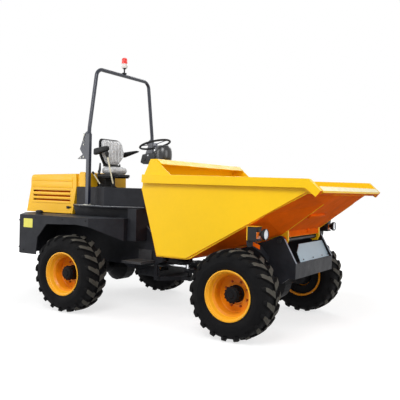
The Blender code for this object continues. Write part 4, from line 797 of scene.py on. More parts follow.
# Each seam's distance from the middle, bead and points: side sheets, floor folds, hinge ears, rim box
SEAMS = [
    (0.857, 0.0045, [(0.978, 1.395), (0.978, 1.35), (1.164, 0.703), (1.502, 0.703), (2.288, 1.139),
                     (2.688, 1.351), (2.77, 1.361)]),
    (0.44, 0.0032, [(1.506, 0.687), (2.294, 0.9505), (2.696, 1.2545)]),
    (0.4215, 0.004, [(2.29, 0.952), (2.14, 0.902)]),
    (0.876, 0.0032, [(1.01, 1.4045), (1.9, 1.399), (2.7, 1.393)]),
]
LUG_LINE = (2.052, 0.876, 0.337)
for side in (-1, 1):
    for aside, bead, seam in SEAMS:
        add_bead(bm, [at(x, side * aside, z) for x, z in seam], bead)
    for x in (2.052, 2.188):
        z = LUG_LINE[1] + (x - LUG_LINE[0]) * LUG_LINE[2]
        add_bead(bm, [at(x, side * 0.031, z), at(x, side * 0.051, z)], 0.004)
piece("skip_welds", bm, SKIP_PAINT, "skip", 60)
# Tab, boss, bushings and a thin sheet over the hinge box front, all in the orange painted shade
bm = bmesh.new()
slope = math.atan2(0.302, 0.4)
tilt = Matrix.Translation(at(2.545, -0.225, 1.14)) @ Matrix.Rotation(-slope, 4, "Y")
add_box(bm, (-0.022, -0.185, -0.018), (0.022, 0.185, 0.006), 0.004, 2, tilt)
boss = [(0, 0), (0.022, 0), (0.022, 0.01), (0.019, 0.013), (0.011, 0.013), (0.009, 0.017), (0, 0.018)]
add_lathe(bm, boss, at(2.3379, 0.1, 0.975), (1, 0, 0), 24)
bushing = [(0.0235, 0), (0.038, 0), (0.038, 0.007), (0.036, 0.009), (0.0235, 0.009), (0.0235, 0)]
for side in (-1, 1):
    add_lathe(bm, bushing, at(SKIP_PIN[0], side * 0.4205, SKIP_PIN[1]), (0, side, 0), 32)
hinge_shade_sheet = [(2.3362, 0.929), (2.3378, 0.929), (2.3378, 1.003), (2.3362, 1.001)]
add_plate(bm, hinge_shade_sheet, -0.418, 0.418, "XZ", 0.0004, 1)
piece("skip_stop_bar", bm, ORANGE_PAINTED_SHADE, "skip")

# Nose and frames: painted highlights along the nose edges, bolted cheeks, pin keepers, cover screws, axle
# clamps
# Pale strips along the nose plates' front edges: painted highlights
bm = bmesh.new()
edge_line = [(2.4668, 0.696), (2.3425, 0.918), (2.3445, 0.9192), (2.469, 0.697)]
for side in (-1, 1):
    add_sided(bm, edge_line, side, 0.471, 0.494, "XZ", 0.0006, 1)
piece("nose_edge_highlights", bm, EDGE_HIGHLIGHT, "front_chassis")
TONGUE_CHEEK = [(1.33, 0.577), (1.588, 0.577), (1.588, 0.672), (1.345, 0.672), (1.33, 0.655)]
REAR_CHEEK = [(0.5, 0.385), (0.77, 0.385), (0.792, 0.405), (0.792, 0.49), (0.5, 0.49)]
for name, body, outline, near, bolt_height, stations in (
    ("tongue_cheeks", "front_chassis", TONGUE_CHEEK, 0.092, 0.6, (1.37, 1.46, 1.55)),
    ("rear_frame_cheeks", "rear_chassis", REAR_CHEEK, 0.3, 0.41, (0.53, 0.62, 0.71)),
):
    bm = bmesh.new()
    for side in (-1, 1):
        add_sided(bm, outline, side, near, near + 0.008, "XZ", 0.001)
        for x in stations:
            add_bolt(bm, at(x, side * (near + 0.008), bolt_height), (0, side, 0), 0.006)
    piece(name, bm, CHARCOAL, body)
bm = bmesh.new()
pin_cap = [(0, 0), (0.0225, 0), (0.0225, 0.002), (0.02, 0.0045), (0.006, 0.0045), (0.005, 0.007),
           (0, 0.0075)]
keeper = [(2.322, 0.866), (2.336, 0.876), (2.322, 0.894), (2.308, 0.886)]
FRAME_BOLTS = [(1.6, 0.63), (1.6, 0.56), (1.96, 0.525), (2.09, 0.525), (1.99, 0.525), (2.06, 0.525)]
for side in (-1, 1):
    add_lathe(bm, pin_cap, at(SKIP_PIN[0], side * 0.5065, SKIP_PIN[1]), (0, side, 0), 32)
    add_sided(bm, keeper, side, 0.4952, 0.501, "XZ", 0.001)
    add_bolt(bm, at(2.326, side * 0.501, 0.879), (0, side, 0), 0.0075)
    for x, z in FRAME_BOLTS:
        add_bolt(bm, at(x, side * 0.4953, z), (0, side, 0), 0.0085)
for y in (-0.25, 0.0, 0.25, 0.42):
    add_bolt(bm, at(2.4425, y, 0.715), (0.88, 0, 0.47), 0.006)
piece("nose_fasteners", bm, BLACK_STEEL, "front_chassis")

# Lamps: moulded housing with a recessed front, amber indicator, round lens in a deep bezel
BEZEL = [
    (0.0, 0.018), (0.018, 0.018), (0.018, 0.034), (0.034, 0.046), (0.046, 0.058), (0.0495, 0.066),
    (0.0495, 0.086), (0.0475, 0.088), (0.0465, 0.086), (0.046, 0.074), (0.03, 0.06), (0.0, 0.056),
    (0.0, 0.018),
]
LENS = [(0, 0.0875), (0.015, 0.087), (0.03, 0.0855), (0.042, 0.083), (0.0458, 0.0805), (0.0458, 0.0785),
        (0, 0.08)]
REFLECTOR = [(0, 0.0575), (0.014, 0.0585), (0.03, 0.062), (0.0455, 0.076)]
ARM_SHADE_PATCH = [(0.705, 0.824), (0.845, 0.868), (0.845, 0.905), (0.705, 0.864)]
for name, side in (("left", 1), ("right", -1)):
    bm = bmesh.new()
    low, high = sorted((side * 0.8505, side * 0.9595))
    add_plate(bm, rectangle(2.1965, 0.921, 2.281, 1.0405), low, high, "XZ", 0.006, 3)
    for z in (0.9225, 1.033):
        add_plate(bm, rectangle(2.276, z, 2.285, z + 0.006), low + 0.001, high - 0.001, "XZ", 0.001)
    for z in (0.936, 0.952, 0.968, 0.984, 1.000, 1.016):
        add_box(bm, at(2.204, low - 0.0008, z), at(2.272, high + 0.0008, z + 0.005), 0.0006, 1)
    centre = at(2.262, side * 0.893, 0.981)
    add_lathe(bm, BEZEL, centre, (1, 0, 0), 48)
    made = piece("lamp_housing_" + name, bm, PLASTIC, "front_chassis", 40)
    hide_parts("headlamp_" + name)
    bm = bmesh.new()
    add_lathe(bm, REFLECTOR, centre, (1, 0, 0), 40)
    piece("lamp_reflector_" + name, bm, MIRROR, "front_chassis", 60)
    bm = bmesh.new()
    add_lathe(bm, LENS, centre, (1, 0, 0), 48)
    piece("lamp_lens_" + name, bm, CLEAR_LENS, "front_chassis", 40)
    bm = bmesh.new()
    low, high = sorted((side * 0.872, side * 0.953))
    add_box(bm, at(2.276, low, 0.942), at(2.2865, high, 0.999), 0.003)
    piece("indicator_lens_" + name, bm, AMBER_LENS, "front_chassis", 40)
    bm = bmesh.new()
    back = rectangle(side * 0.848, 0.926, side * 0.9605, 1.0475)
    add_plate(bm, back, 2.1868, 2.1888, "YZ", 0.0008, 1)
    add_sided(bm, rectangle(2.188, 1.0462, 2.285, 1.048), side, 0.849, 0.9605, "XZ", 0.0006, 1)
    add_sided(bm, rectangle(2.188, 0.926, 2.1965, 1.0475), side, 0.9602, 0.9616, "XZ", 0.0004, 1)
    piece("lamp_guard_" + name, bm, HOOD_PAINT, "front_chassis")
    # An orange patch on the lamp arm, coloured with the deep orange painted shade
    bm = bmesh.new()
    add_plate(bm, [(side * y, z) for y, z in ARM_SHADE_PATCH], 2.1961, 2.1978, "YZ", 0.0006, 1)
    piece("lamp_arm_shade_patch_" + name, bm, ORANGE_PAINTED_SHADE, "front_chassis")
    bm = bmesh.new()
    for y, z in ((0.87, 0.895), (0.94, 0.905)):
        add_bolt(bm, at(2.1865, side * y, z), (-1, 0, 0), 0.006)
    for z in (0.7, 0.728):
        add_bolt(bm, at(2.189, side * 0.52, z), (-1, 0, 0), 0.007)
    piece("lamp_bolts_" + name, bm, ZINC, "front_chassis")

# Hood: pressed bands with grooves between, baffles in orange painted shade behind the slots, latches and
# hinge bolts
BANDS = [
    (-1.118, 1.332, -0.44, 1.404), (-1.105, 1.305, -0.462, 1.325), (-1.107, 1.251, -0.464, 1.275),
    (-1.112, 1.2, -0.468, 1.221), (-1.118, 1.144, -0.474, 1.17), (-1.116, 1.412, -0.436, 1.462),
]
bm = bmesh.new()
for side in (-1, 1):
    for band in BANDS:
        add_sided(bm, curved(rectangle(*band), 0.008, 3), side, 0.398, 0.4045, "XZ", 0.003)
for low, high in ((-0.33, -0.12), (-0.105, 0.105), (0.12, 0.33)):
    add_plate(bm, curved(rectangle(-1.09, low, -0.44, high), 0.02, 3), 1.488, 1.495, "XY", 0.003)
piece("hood_bands", bm, HOOD_PAINT, "hood", 40)
# Baffles behind the slots, in the orange painted shade
bm = bmesh.new()
for side in (-1, 1):
    for z in HOOD_SLOTS:
        add_sided(bm, rectangle(-1.106, z - 0.008, -0.464, z + 0.028), side, 0.35, 0.356, "XZ", 0.001)
piece("hood_louvre_baffles", bm, ORANGE_PAINTED_SHADE, "hood")
bm = bmesh.new()
for side in (-1, 1):
    low, high = sorted((side * 0.4, side * 0.414))
    add_box(bm, at(-0.52, low, 1.09), at(-0.478, high, 1.118), 0.004)
    add_rod(bm, at(-0.49, side * 0.408, 1.1), at(-0.452, side * 0.406, 1.108), 0.0065, 12)
piece("hood_latches", bm, SEAL, "hood")
bm = bmesh.new()
TAIL_LEAN = 0.2258
for side in (-1, 1):
    for y in (0.208, 0.232):
        for z in (1.06, 1.1):
            spot = at(-1.209 + (z - 1.03) * TAIL_LEAN, side * y, z)
            add_bolt(bm, spot, (-0.976, 0, 0.22), 0.007)
piece("hood_hinge_bolts", bm, ZINC, "hood")

# Rear body: blank sticker, filler cap, dark skirts under the deck, a pale sheet strip on the deck edge that
# also paints its highlight, edge bolts
bm = bmesh.new()
patch = curved(rectangle(-0.7, 0.877, -0.556, 0.978), 0.01, 3)
add_plate(bm, patch, -FENDER_SIDE - 0.0008, -FENDER_SIDE, "XZ", 0.0)
piece("blank_sticker", bm, STICKER, "rear_chassis")
bm = bmesh.new()
filler = at(-0.6, -0.76, 1.0223)
cap = [
    (0, 0), (0.05, 0), (0.05, 0.006), (0.046, 0.01), (0.038, 0.013), (0.036, 0.018), (0.039, 0.021),
    (0.039, 0.04), (0.036, 0.045), (0.028, 0.048), (0, 0.05),
]
add_lathe(bm, cap, filler, (0, 0, 1), 48)
for spot in ring_points(filler + Vector((0, 0, 0.02)), (0, 0, 1), 0.0385, 16):
    add_rod(bm, spot, spot + Vector((0, 0, 0.02)), 0.003, 8)
made = piece("filler_cap_detail", bm, PLASTIC, "rear_chassis")
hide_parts("filler_cap")
bm = bmesh.new()
for side in (-1, 1):
    apron = [(-0.3, 1.0225), (0.515, 1.0225), (0.515, 1.1295), (-0.34, 1.1295)]
    add_sided(bm, apron, side, 0.47, 0.476, "XZ", 0.001)
    add_plate(bm, rectangle(side * 0.345, 1.0225, side * 0.47, 1.1295), 0.509, 0.515, "YZ", 0.001)
piece("deck_skirts", bm, CHARCOAL, "rear_chassis")
# A pale strip along the deck edge: galvanised sheet that is also a painted highlight
bm = bmesh.new()
for side in (-1, 1):
    strip = [(-0.362, 0.412), (-0.362, 0.452), (-0.102, 0.622), (0.338, 0.622), (0.662, 0.447),
             (0.662, 0.436), (0.19, 0.562)]
    add_plate(bm, [(x, side * y) for x, y in strip], DECK_TOP - 0.0018, DECK_TOP, "XY", 0.0006, 1)
piece("deck_edge_strip_and_highlight", bm, DECK_SHEET, "rear_chassis")
bm = bmesh.new()
add_plate(bm, rectangle(0.205, -0.325, 0.645, 0.325), 1.1592, 1.1612, "XY", 0.0)
piece("foot_well_mat", bm, TREAD_PLATE, "rear_chassis")
bm = bmesh.new()
for side in (-1, 1):
    for x in (-0.02, 0.1, 0.22, 0.33):
        add_bolt(bm, at(x, side * 0.608, DECK_TOP), (0, 0, 1), 0.0065)
    for x, z in ((-0.7, 0.62), (-0.52, 0.99), (-0.1, 0.99), (0.24, 0.99)):
        add_bolt(bm, at(x, side * FENDER_SIDE, z), (0, side, 0), 0.0065)
    for z in (0.64, 0.95):
        add_bolt(bm, at(-0.84, side * 0.833, z), (-0.72, side * 0.69, 0), 0.01)
piece("body_bolts", bm, BLACK_STEEL, "rear_chassis")
bm = bmesh.new()
for y, wide in ((-0.23, 0.05), (0.205, 0.075)):
    tilt = Matrix.Translation(at(0.555, y, 1.215)) @ Matrix.Rotation(math.radians(-52), 4, "Y")
    add_box(bm, (-0.06, -wide / 2, -0.006), (0.06, wide / 2, 0.006), 0.004, 2, tilt)
    add_rod(bm, at(0.575, y, 1.1615), at(0.57, y, 1.215), 0.01, 12)
    for k in range(5):
        spot = tilt @ Matrix.Translation((-0.044 + k * 0.022, 0, 0.007))
        add_box(bm, (-0.004, -wide * 0.42, -0.0015), (0.004, wide * 0.42, 0.0015), 0.001, 1, spot)
piece("pedals", bm, SEAL, "rear_chassis")

# Roll bar: smooth hoop with its knuckles, pins and feet
POST_X, POST_Y, JOINT_Z, TOP_Z, TOP_HALF, TUBE = -0.015, 0.59, 1.95, 2.7, 0.477, 0.0215
PIN_X, PIN_Z = POST_X - 0.055, JOINT_Z - 0.012
bm = bmesh.new()
half = [(POST_Y, JOINT_Z + 0.0012), (POST_Y, JOINT_Z + 0.06), (TOP_HALF + 0.011, TOP_Z - 0.046),
        (TOP_HALF - 0.048, TOP_Z)]
route = [(-y, z) for y, z in half] + [(y, z) for y, z in reversed(half)]
add_tube(bm, [at(POST_X, y, z) for y, z in route], TUBE, 28, bend=0.055, turns=8)
knuckle = [
    (POST_X - 0.012, JOINT_Z + 0.044), (POST_X - 0.012, JOINT_Z + 0.008), (PIN_X + 0.026, JOINT_Z + 0.006),
    (PIN_X + 0.014, PIN_Z - 0.002), (PIN_X + 0.01, PIN_Z - 0.01), (PIN_X, PIN_Z - 0.014),
    (PIN_X - 0.01, PIN_Z - 0.01), (PIN_X - 0.012, PIN_Z + 0.016),
]
collar = [(TUBE, 0), (TUBE + 0.003, 0), (TUBE + 0.003, 0.012), (TUBE, 0.014)]
for side in (-1, 1):
    add_plate(bm, knuckle, side * POST_Y - 0.007, side * POST_Y + 0.007, "XZ", 0.0015)
    add_lathe(bm, collar, at(POST_X, side * POST_Y, JOINT_Z + 0.002), (0, 0, 1), 28)
made = piece("roll_hoop_detail", bm, POST_PAINT, "roll_hoop", 40)
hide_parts("roll_hoop")
bm = bmesh.new()
pin_end = [(0, 0), (0.0115, 0), (0.0115, 0.0025), (0.0095, 0.004), (0, 0.004)]
for side in (-1, 1):
    y = side * POST_Y
    add_box(bm, at(POST_X - 0.05, y - 0.036, 1.1472), at(POST_X + 0.05, y + 0.036, 1.155), 0.002)
    for dx in (-0.038, 0.038):
        add_bolt(bm, at(POST_X + dx, y, 1.155), (0, 0, 1), 0.0085)
    for out in (-1, 1):
        add_lathe(bm, pin_end, at(PIN_X, y + out * 0.0255, PIN_Z), (0, out, 0), 20)
    clip = [(0.0, 0.024, -0.01), (-0.016, 0.03, -0.06), (0.01, 0.026, -0.08)]
    add_tube(bm, [at(PIN_X + dx, y + side * dy, PIN_Z + dz) for dx, dy, dz in clip], 0.0022, 8, bend=0.02)
    for dx, dz in ((-0.06, -0.12), (-0.06, -0.26), (-0.105, -0.272)):
        add_bolt(bm, at(POST_X + dx, y + side * 0.021, JOINT_Z + dz), (0, side, 0), 0.0075)
piece("roll_bar_fittings", bm, ZINC, "rear_chassis")

# Beacon: ribbed red lens over a pale base on a bracket
base = at(POST_X, 0.0, TOP_Z)
bm = bmesh.new()
dome = [
    (0, 0.2175), (0.012, 0.217), (0.024, 0.2145), (0.0315, 0.207), (0.0338, 0.196), (0.0343, 0.156),
    (0.0335, 0.145), (0, 0.145),
]
add_lathe(bm, dome, base, (0, 0, 1), 40)
for height in (0.158, 0.168, 0.178, 0.188, 0.198):
    add_ring(bm, base + Vector((0, 0, height)), (0, 0, 1), 0.0338, 0.0011, 40, 6)
made = piece("beacon_lens", bm, RED_LENS, "roll_hoop", 40)
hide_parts("beacon")
bm = bmesh.new()
band = [
    (0, 0.1448), (0.035, 0.1448), (0.0362, 0.142), (0.0362, 0.118), (0.0345, 0.105), (0.0335, 0.095),
    (0.026, 0.091), (0, 0.0905),
]
add_lathe(bm, band, base, (0, 0, 1), 40)
piece("beacon_base", bm, PALE_BAND, "roll_hoop", 40)
bm = bmesh.new()
stalk = [
    (0, 0.09), (0.02, 0.0895), (0.0205, 0.085), (0.009, 0.08), (0.0085, 0.04), (0.011, 0.037),
    (0.029, 0.035), (0.0295, 0.023), (0, 0.0225),
]
add_lathe(bm, stalk, base, (0, 0, 1), 28)
for side in (-1, 1):
    add_bolt(bm, base + Vector((0, side * 0.02, 0.035)), (0, 0, 1), 0.0045)
piece("beacon_stalk", bm, BLACK_STEEL, "roll_hoop", 40)

# Soft pieces: a cover blown up by cloth simulation, then sewn channels and piping
def puff(bm, cap, voxel=0.0055):
    """The closed form as a stuffed cover; no point moves further than the cap."""
    bmesh.ops.recalc_face_normals(bm, faces=bm.faces)
    mesh = bpy.data.meshes.new("cover")
    bm.to_mesh(mesh)
    bm.free()
    form = bpy.data.objects.new("cover", mesh)
    bpy.context.scene.collection.objects.link(form)
    remesh = form.modifiers.new("Even", "REMESH")
    remesh.mode = "VOXEL"
    remesh.voxel_size = voxel
    start = evaluated(form)
    form.modifiers.clear()
    form.data = start
    rest = [vertex.co.copy() for vertex in start.vertices]
    cloth = form.modifiers.new("Stuffing", "CLOTH")
    cloth.settings.quality = 5
    cloth.settings.use_pressure = True
    cloth.settings.uniform_pressure_force = 4.0
    cloth.settings.effector_weights.gravity = 0.0
    scene = bpy.context.scene
    for number in range(1, 21):
        scene.frame_set(number)
    blown = evaluated(form)
    moved = [vertex.co.copy() for vertex in blown.vertices]
    form.modifiers.clear()
    scene.frame_set(1)
    for vertex, before, after in zip(start.vertices, rest, moved):
        step = after - before
        vertex.co = before + step * min(1.0, cap / max(step.length, 1e-9))
    finer = form.modifiers.new("Finer", "SUBSURF")
    finer.levels = 1
    finer.render_levels = 1
    out = bmesh.new()
    out.from_mesh(evaluated(form))
    bpy.data.objects.remove(form)
    return out


def evaluated(form):
    """The object's mesh with its modifiers carried out."""
    graph = bpy.context.evaluated_depsgraph_get()
    return bpy.data.meshes.new_from_object(form.evaluated_get(graph))


def sew(bm, lines, depth, width, facing):
    """Channels pressed into the side that faces a direction, along lines at given distances in Y."""
    bm.normal_update()
    for vert in bm.verts:
        share = max(0.0, min(1.0, (vert.normal.dot(facing) - 0.25) / 0.35))
        if share:
            near = min(abs(vert.co.y - line) for line in lines)
            vert.co -= facing * depth * share * math.exp(-((near / width) ** 2))


def piping(name, bm_source, points, radius, material, body):
    """A sewn welt laid on the nearest skin of a cover."""
    tree = BVHTree.FromBMesh(bm_source)
    bm = bmesh.new()
    path = []
    for point in points:
        spot, normal, _, _ = tree.find_nearest(point)
        path.append(spot + normal * radius * 0.25)
    for _ in range(4):
        path = [(path[i - 1] + path[i] * 2 + path[(i + 1) % len(path)]) / 4 for i in range(len(path))]
    add_tube(bm, path, radius, 8, closed=True)
    return piece(name, bm, material, body, 60)


def dense(points, count):
    """A closed outline as evenly spaced points."""
    points = [Vector(p) for p in points]
    spans = [(points[(i + 1) % len(points)] - p).length for i, p in enumerate(points)]
    total, out = sum(spans), []
    for k in range(count):
        left = total * k / count
        i = 0
        while left > spans[i]:
            left -= spans[i]
            i += 1
        out.append(points[i].lerp(points[(i + 1) % len(points)], left / spans[i]))
    return out


SEAT_X, SEAT_Y, SEAT_Z, BACK_FOOT = -0.04, -0.1, 1.51, 1.5983
# Cushion
bm = bmesh.new()
corners = [(-0.101, -0.158), (0.09, -0.15), (0.09, 0.15), (-0.101, 0.158)]
pad = curved([(SEAT_X + x, SEAT_Y + y) for x, y in corners], 0.062, 5)
add_plate(bm, pad, SEAT_Z + 0.008, SEAT_Z + 0.08, "XY", 0.026, 4)
bm = puff(bm, 0.0095)
sew(bm, [SEAT_Y + y for y in (-0.096, -0.048, 0.0, 0.048, 0.096)], 0.008, 0.009, Vector((0, 0, 1)))
edge = [at(x, y, SEAT_Z + 0.042) for x, y in dense(pad, 90)]
welt = [p + (p - at(SEAT_X, SEAT_Y, p.z)).normalized() * 0.02 for p in edge]
piping("cushion_piping", bm, welt, 0.0034, SEAT_VINYL, "rear_chassis")
made = piece("seat_cushion_cover", bm, SEAT_VINYL, "rear_chassis", 180)
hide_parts("seat_cushion")
# Back: padded front on a moulded shell
front = [(-0.112, 0.02), (-0.191, 0.14), (-0.189, 0.285), (-0.165, 0.322), (0.15, 0.322), (0.184, 0.28),
         (0.186, 0.14), (0.108, 0.02)]
bm = bmesh.new()
part = bmesh.new()
add_plate(part, curved([(SEAT_Y + y, BACK_FOOT + z) for y, z in front], 0.04, 4), 0.0, 1.0, "YZ", 0.0)
depth_edges = [e for e in part.edges if abs(e.verts[0].co.x - e.verts[1].co.x) > 0.5]
bmesh.ops.subdivide_edges(part, edges=depth_edges, cuts=1)
for vert in part.verts:
    share = vert.co.x - REAR_AXLE_X
    height = vert.co.z - BACK_FOOT
    rear = -0.118 - 0.077 * height + 0.02
    face = -0.061 + (0.15 * height if height < 0.15 else 0.0225 - 0.27 * (height - 0.15))
    vert.co.x = REAR_AXLE_X + rear + (face - rear) * share
join(bm, part, 0.012, 3)
bm = puff(bm, 0.011)
sew(bm, [SEAT_Y + y for y in (-0.124, -0.062, 0.0, 0.062, 0.124)], 0.012, 0.012, Vector((1, 0, 0)))
rim_line = [at(0.0, SEAT_Y + y, BACK_FOOT + z) for y, z in dense(curved(front, 0.04, 4), 110)]
middle = at(-0.08, SEAT_Y, BACK_FOOT + 0.17)
for p in rim_line:
    p.x = REAR_AXLE_X - 0.098 + 0.03 * (p.z - BACK_FOOT)
    p += (p - middle).normalized() * 0.02
piping("back_piping", bm, rim_line, 0.0034, SEAT_VINYL, "rear_chassis")
made = piece("seat_back_cover", bm, SEAT_VINYL, "rear_chassis", 180)
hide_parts("seat_back")
bm = bmesh.new()
part = bmesh.new()
shell = [(-0.12, 0.004), (-0.199, 0.14), (-0.194, 0.29), (-0.168, 0.332), (0.158, 0.332), (0.192, 0.29),
         (0.196, 0.14), (0.12, 0.004)]
shell = curved([(SEAT_Y + y, BACK_FOOT + z) for y, z in shell], 0.035, 4)
add_plate(part, shell, -0.117, -0.103, "YZ", 0.004)
for rib in (-0.1, 0.0, 0.1):
    corner = at(-0.12, SEAT_Y + rib - 0.006, BACK_FOOT + 0.03)
    add_box(part, corner, at(-0.116, SEAT_Y + rib + 0.006, BACK_FOOT + 0.3), 0.0012)
for vert in part.verts:
    vert.co.x -= 0.077 * (vert.co.z - BACK_FOOT)
join(bm, part)
add_box(bm, at(-0.13, SEAT_Y - 0.118, 1.6), at(-0.078, SEAT_Y + 0.118, 1.624), 0.004)
# Folding joint between back and pan
strap = [(-0.15, 1.5), (-0.12, 1.5), (-0.105, 1.56), (-0.11, 1.64), (-0.128, 1.64), (-0.14, 1.56)]
knob = [(0, 0), (0.018, 0), (0.018, 0.004), (0.01, 0.008), (0, 0.008)]
for side in (-1, 1):
    low, high = sorted((SEAT_Y + side * 0.176, SEAT_Y + side * 0.183))
    add_plate(bm, strap, low, high, "XZ", 0.0015)
    add_lathe(bm, knob, at(-0.13, SEAT_Y + side * 0.183, 1.54), (0, side, 0), 24)
piece("seat_back_shell", bm, PLASTIC, "rear_chassis")
# Arm rests on swinging arms
disc = [(0, 0), (0.021, 0), (0.021, 0.006), (0.016, 0.009), (0, 0.009)]
for name, y, (x0, z0), (x1, z1), tall, taper in (
    ("near", -0.35, (-0.148, 1.764), (0.062, 1.806), 0.078, 0.75),
    ("far", 0.135, (-0.118, 1.752), (0.12, 1.8), 0.064, 0.25),
):
    bm = bmesh.new()
    tail_half, tip_half = tall * 0.5, tall * 0.5 * taper
    outline = [(x0, z0 - tail_half), (x1, z1 - tip_half), (x1, z1 + tip_half), (x0, z0 + tail_half)]
    add_plate(bm, curved(outline, 0.022, 4), y - 0.024, y + 0.024, "XZ", 0.012, 3)
    bm = puff(bm, 0.004, 0.005)
    made = piece("arm_rest_" + name, bm, ARM_VINYL, "rear_chassis", 180)
    bm = bmesh.new()
    inward = -1 if y > SEAT_Y else 1
    add_rod(bm, at(-0.128, SEAT_Y - inward * 0.17, z0 - 0.004), at(-0.128, y, z0 - 0.004), 0.011, 20)
    add_lathe(bm, disc, at(-0.128, y + inward * 0.0225, z0 - 0.004), (0, inward, 0), 24)
    piece("arm_bracket_" + name, bm, BLACK_STEEL, "rear_chassis")
# Slide rails, height lever and springing gaiter round the pedestal
bm = bmesh.new()
for side in (-1, 1):
    low, high = sorted((SEAT_Y + side * 0.12, SEAT_Y + side * 0.15))
    add_box(bm, at(SEAT_X - 0.11, low, 1.466), at(SEAT_X + 0.09, high, 1.4785), 0.002)
add_rod(bm, at(SEAT_X + 0.08, SEAT_Y - 0.135, 1.47), at(SEAT_X + 0.16, SEAT_Y - 0.14, 1.482), 0.005, 12)
add_rod(bm, at(SEAT_X + 0.15, SEAT_Y - 0.14, 1.481), at(SEAT_X + 0.185, SEAT_Y - 0.141, 1.485), 0.009, 14,
        round_by=0.004)
piece("seat_slides", bm, BLACK_STEEL, "rear_chassis")
bm = bmesh.new()
pleat = curved(rectangle(SEAT_X - 0.2035, SEAT_Y - 0.0885, SEAT_X - 0.0615, SEAT_Y + 0.0885), 0.02)
for k in range(5):
    z = 1.372 + k * 0.02
    add_plate(bm, pleat, z, z + 0.012, "XY", 0.0035)
piece("seat_gaiter", bm, SEAL, "rear_chassis")

# Levers in boots on their plate
bm = bmesh.new()
add_plate(bm, curved(rectangle(-0.058, -0.418, 0.198, -0.342), 0.012), 1.3525, 1.36, "XY", 0.002)
for x in (-0.045, 0.085, 0.185):
    for y in (-0.408, -0.352):
        add_bolt(bm, at(x, y, 1.36), (0, 0, 1), 0.0045)
made = piece("lever_plate", bm, BLACK_STEEL, "rear_chassis")
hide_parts("control_levers")
bm = bmesh.new()
boot = [
    (0, 0), (0.03, 0), (0.03, 0.004), (0.023, 0.008), (0.026, 0.012), (0.019, 0.017), (0.021, 0.021),
    (0.014, 0.027), (0.0155, 0.031), (0.01, 0.038), (0, 0.038),
]
for x, lean in ((0.176, -0.135), (-0.005, -0.3)):
    add_lathe(bm, boot, at(x, -0.38, 1.3595), (lean, 0, 1), 28)
lever_top, lever_foot = at(0.08, -0.38, 1.7), at(0.18, -0.38, 1.36)
along = (lever_top - lever_foot).normalized()
long_knob = [
    (0, -0.004), (0.011, -0.002), (0.0135, 0.004), (0.0215, 0.03), (0.0235, 0.048), (0.0215, 0.062),
    (0.014, 0.07), (0, 0.073),
]
add_lathe(bm, long_knob, lever_top, along, 28)
short_top, short_foot = at(-0.118, -0.38, 1.5), at(0.0, -0.38, 1.36)
short_knob = [(0, 0), (0.0085, 0.001), (0.0125, 0.012), (0.0135, 0.03), (0.01, 0.04), (0, 0.042)]
add_lathe(bm, short_knob, short_top, short_top - short_foot, 24)
piece("lever_boots_and_knobs", bm, SEAL, "rear_chassis", 50)
bm = bmesh.new()
add_rod(bm, lever_foot, lever_top + along * 0.006, 0.0085, 20)
add_rod(bm, short_foot, short_top + (short_top - short_foot).normalized() * 0.006, 0.007, 20)
piece("lever_rods", bm, IVORY, "rear_chassis", 50)

# Steering column: shroud, pot-shaped housing, key switch
wheel_at = at(0.468, 0, 1.867)
LEAN = math.radians(16)
tilt_axis = Vector((-math.sin(LEAN), 0, math.cos(LEAN)))
POT_X = 0.592
bm = bmesh.new()
foot, head = at(0.56, 0, 1.16), at(0.495, 0, 1.772)
length = (head - foot).length
shroud = [
    (0, 0), (0.0815, 0), (0.0815, 0.006), (0.079, 0.01), (0.078, 0.03), (0.0735, 0.16), (0.07, 0.3),
    (0.066, length * 0.75), (0.0615, length - 0.012), (0.056, length), (0, length),
]
add_lathe(bm, shroud, foot, head - foot, 48)
for height in (0.135, 0.15, 0.165):
    add_ring(bm, foot.lerp(head, height / length), head - foot, 0.0746, 0.0022, 48, 6)
for spot in ring_points(foot + Vector((0, 0, 0.0055)), (0, 0, 1), 0.073, 6):
    add_bolt(bm, spot, (0, 0, 1), 0.0055)
pod = [(0.338, 1.748), (0.312, 1.655), (0.345, 1.64), (0.52, 1.66), (0.52, 1.76), (0.44, 1.764)]
add_plate(bm, curved(pod, 0.01, 3), -0.069, 0.069, "XZ", 0.006, 3)
cap = [(0, 0), (0.014, 0), (0.014, 0.006), (0.009, 0.009), (0, 0.009)]
for side in (-1, 1):
    add_lathe(bm, cap, at(0.372, side * 0.069, 1.69), (0, side, 0), 20)
neck = [(0, 0), (0.036, 0), (0.0355, 0.03), (0.027, 0.04), (0, 0.04)]
add_lathe(bm, neck, wheel_at - tilt_axis * 0.118, tilt_axis, 32)
made = piece("column_shroud", bm, GREY_PLASTIC, "rear_chassis", 42)
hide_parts("steering_column")
bm = bmesh.new()
pot = [
    (0, -0.099), (0.07, -0.097), (0.086, -0.09), (0.095, -0.072), (0.099, -0.04), (0.0995, -0.005),
    (0.096, 0.03), (0.088, 0.062), (0.076, 0.085), (0.062, 0.095), (0.056, 0.0965), (0.052, 0.094),
    (0, 0.093),
]
add_lathe(bm, pot, at(POT_X, 0, 1.757), (0, 0, 1), 56)
add_ring(bm, at(POT_X, 0, 1.69), (0, 0, 1), 0.0965, 0.002, 56, 6)
piece("instrument_housing", bm, HOUSING, "rear_chassis", 50)
bm = bmesh.new()
lock = [(0, 0), (0.0085, 0), (0.0085, 0.002), (0.006, 0.003), (0, 0.003)]
add_lathe(bm, lock, at(0.42, -0.0695, 1.735), (0, -1, 0), 24)
add_box(bm, at(0.4185, -0.079, 1.728), at(0.4215, -0.0715, 1.742), 0.0008)
switch = [(0, 0), (0.0065, 0), (0.006, 0.003), (0, 0.0036)]
for y in (-0.03, 0.0, 0.03):
    add_lathe(bm, switch, at(0.329, y, 1.7), (-0.98, 0, 0.2), 20)
dial_rim = [
    (0.03, 0), (0.0345, 0.0005), (0.0345, 0.0035), (0.031, 0.0045), (0.03, 0.003), (0.03, 0),
]
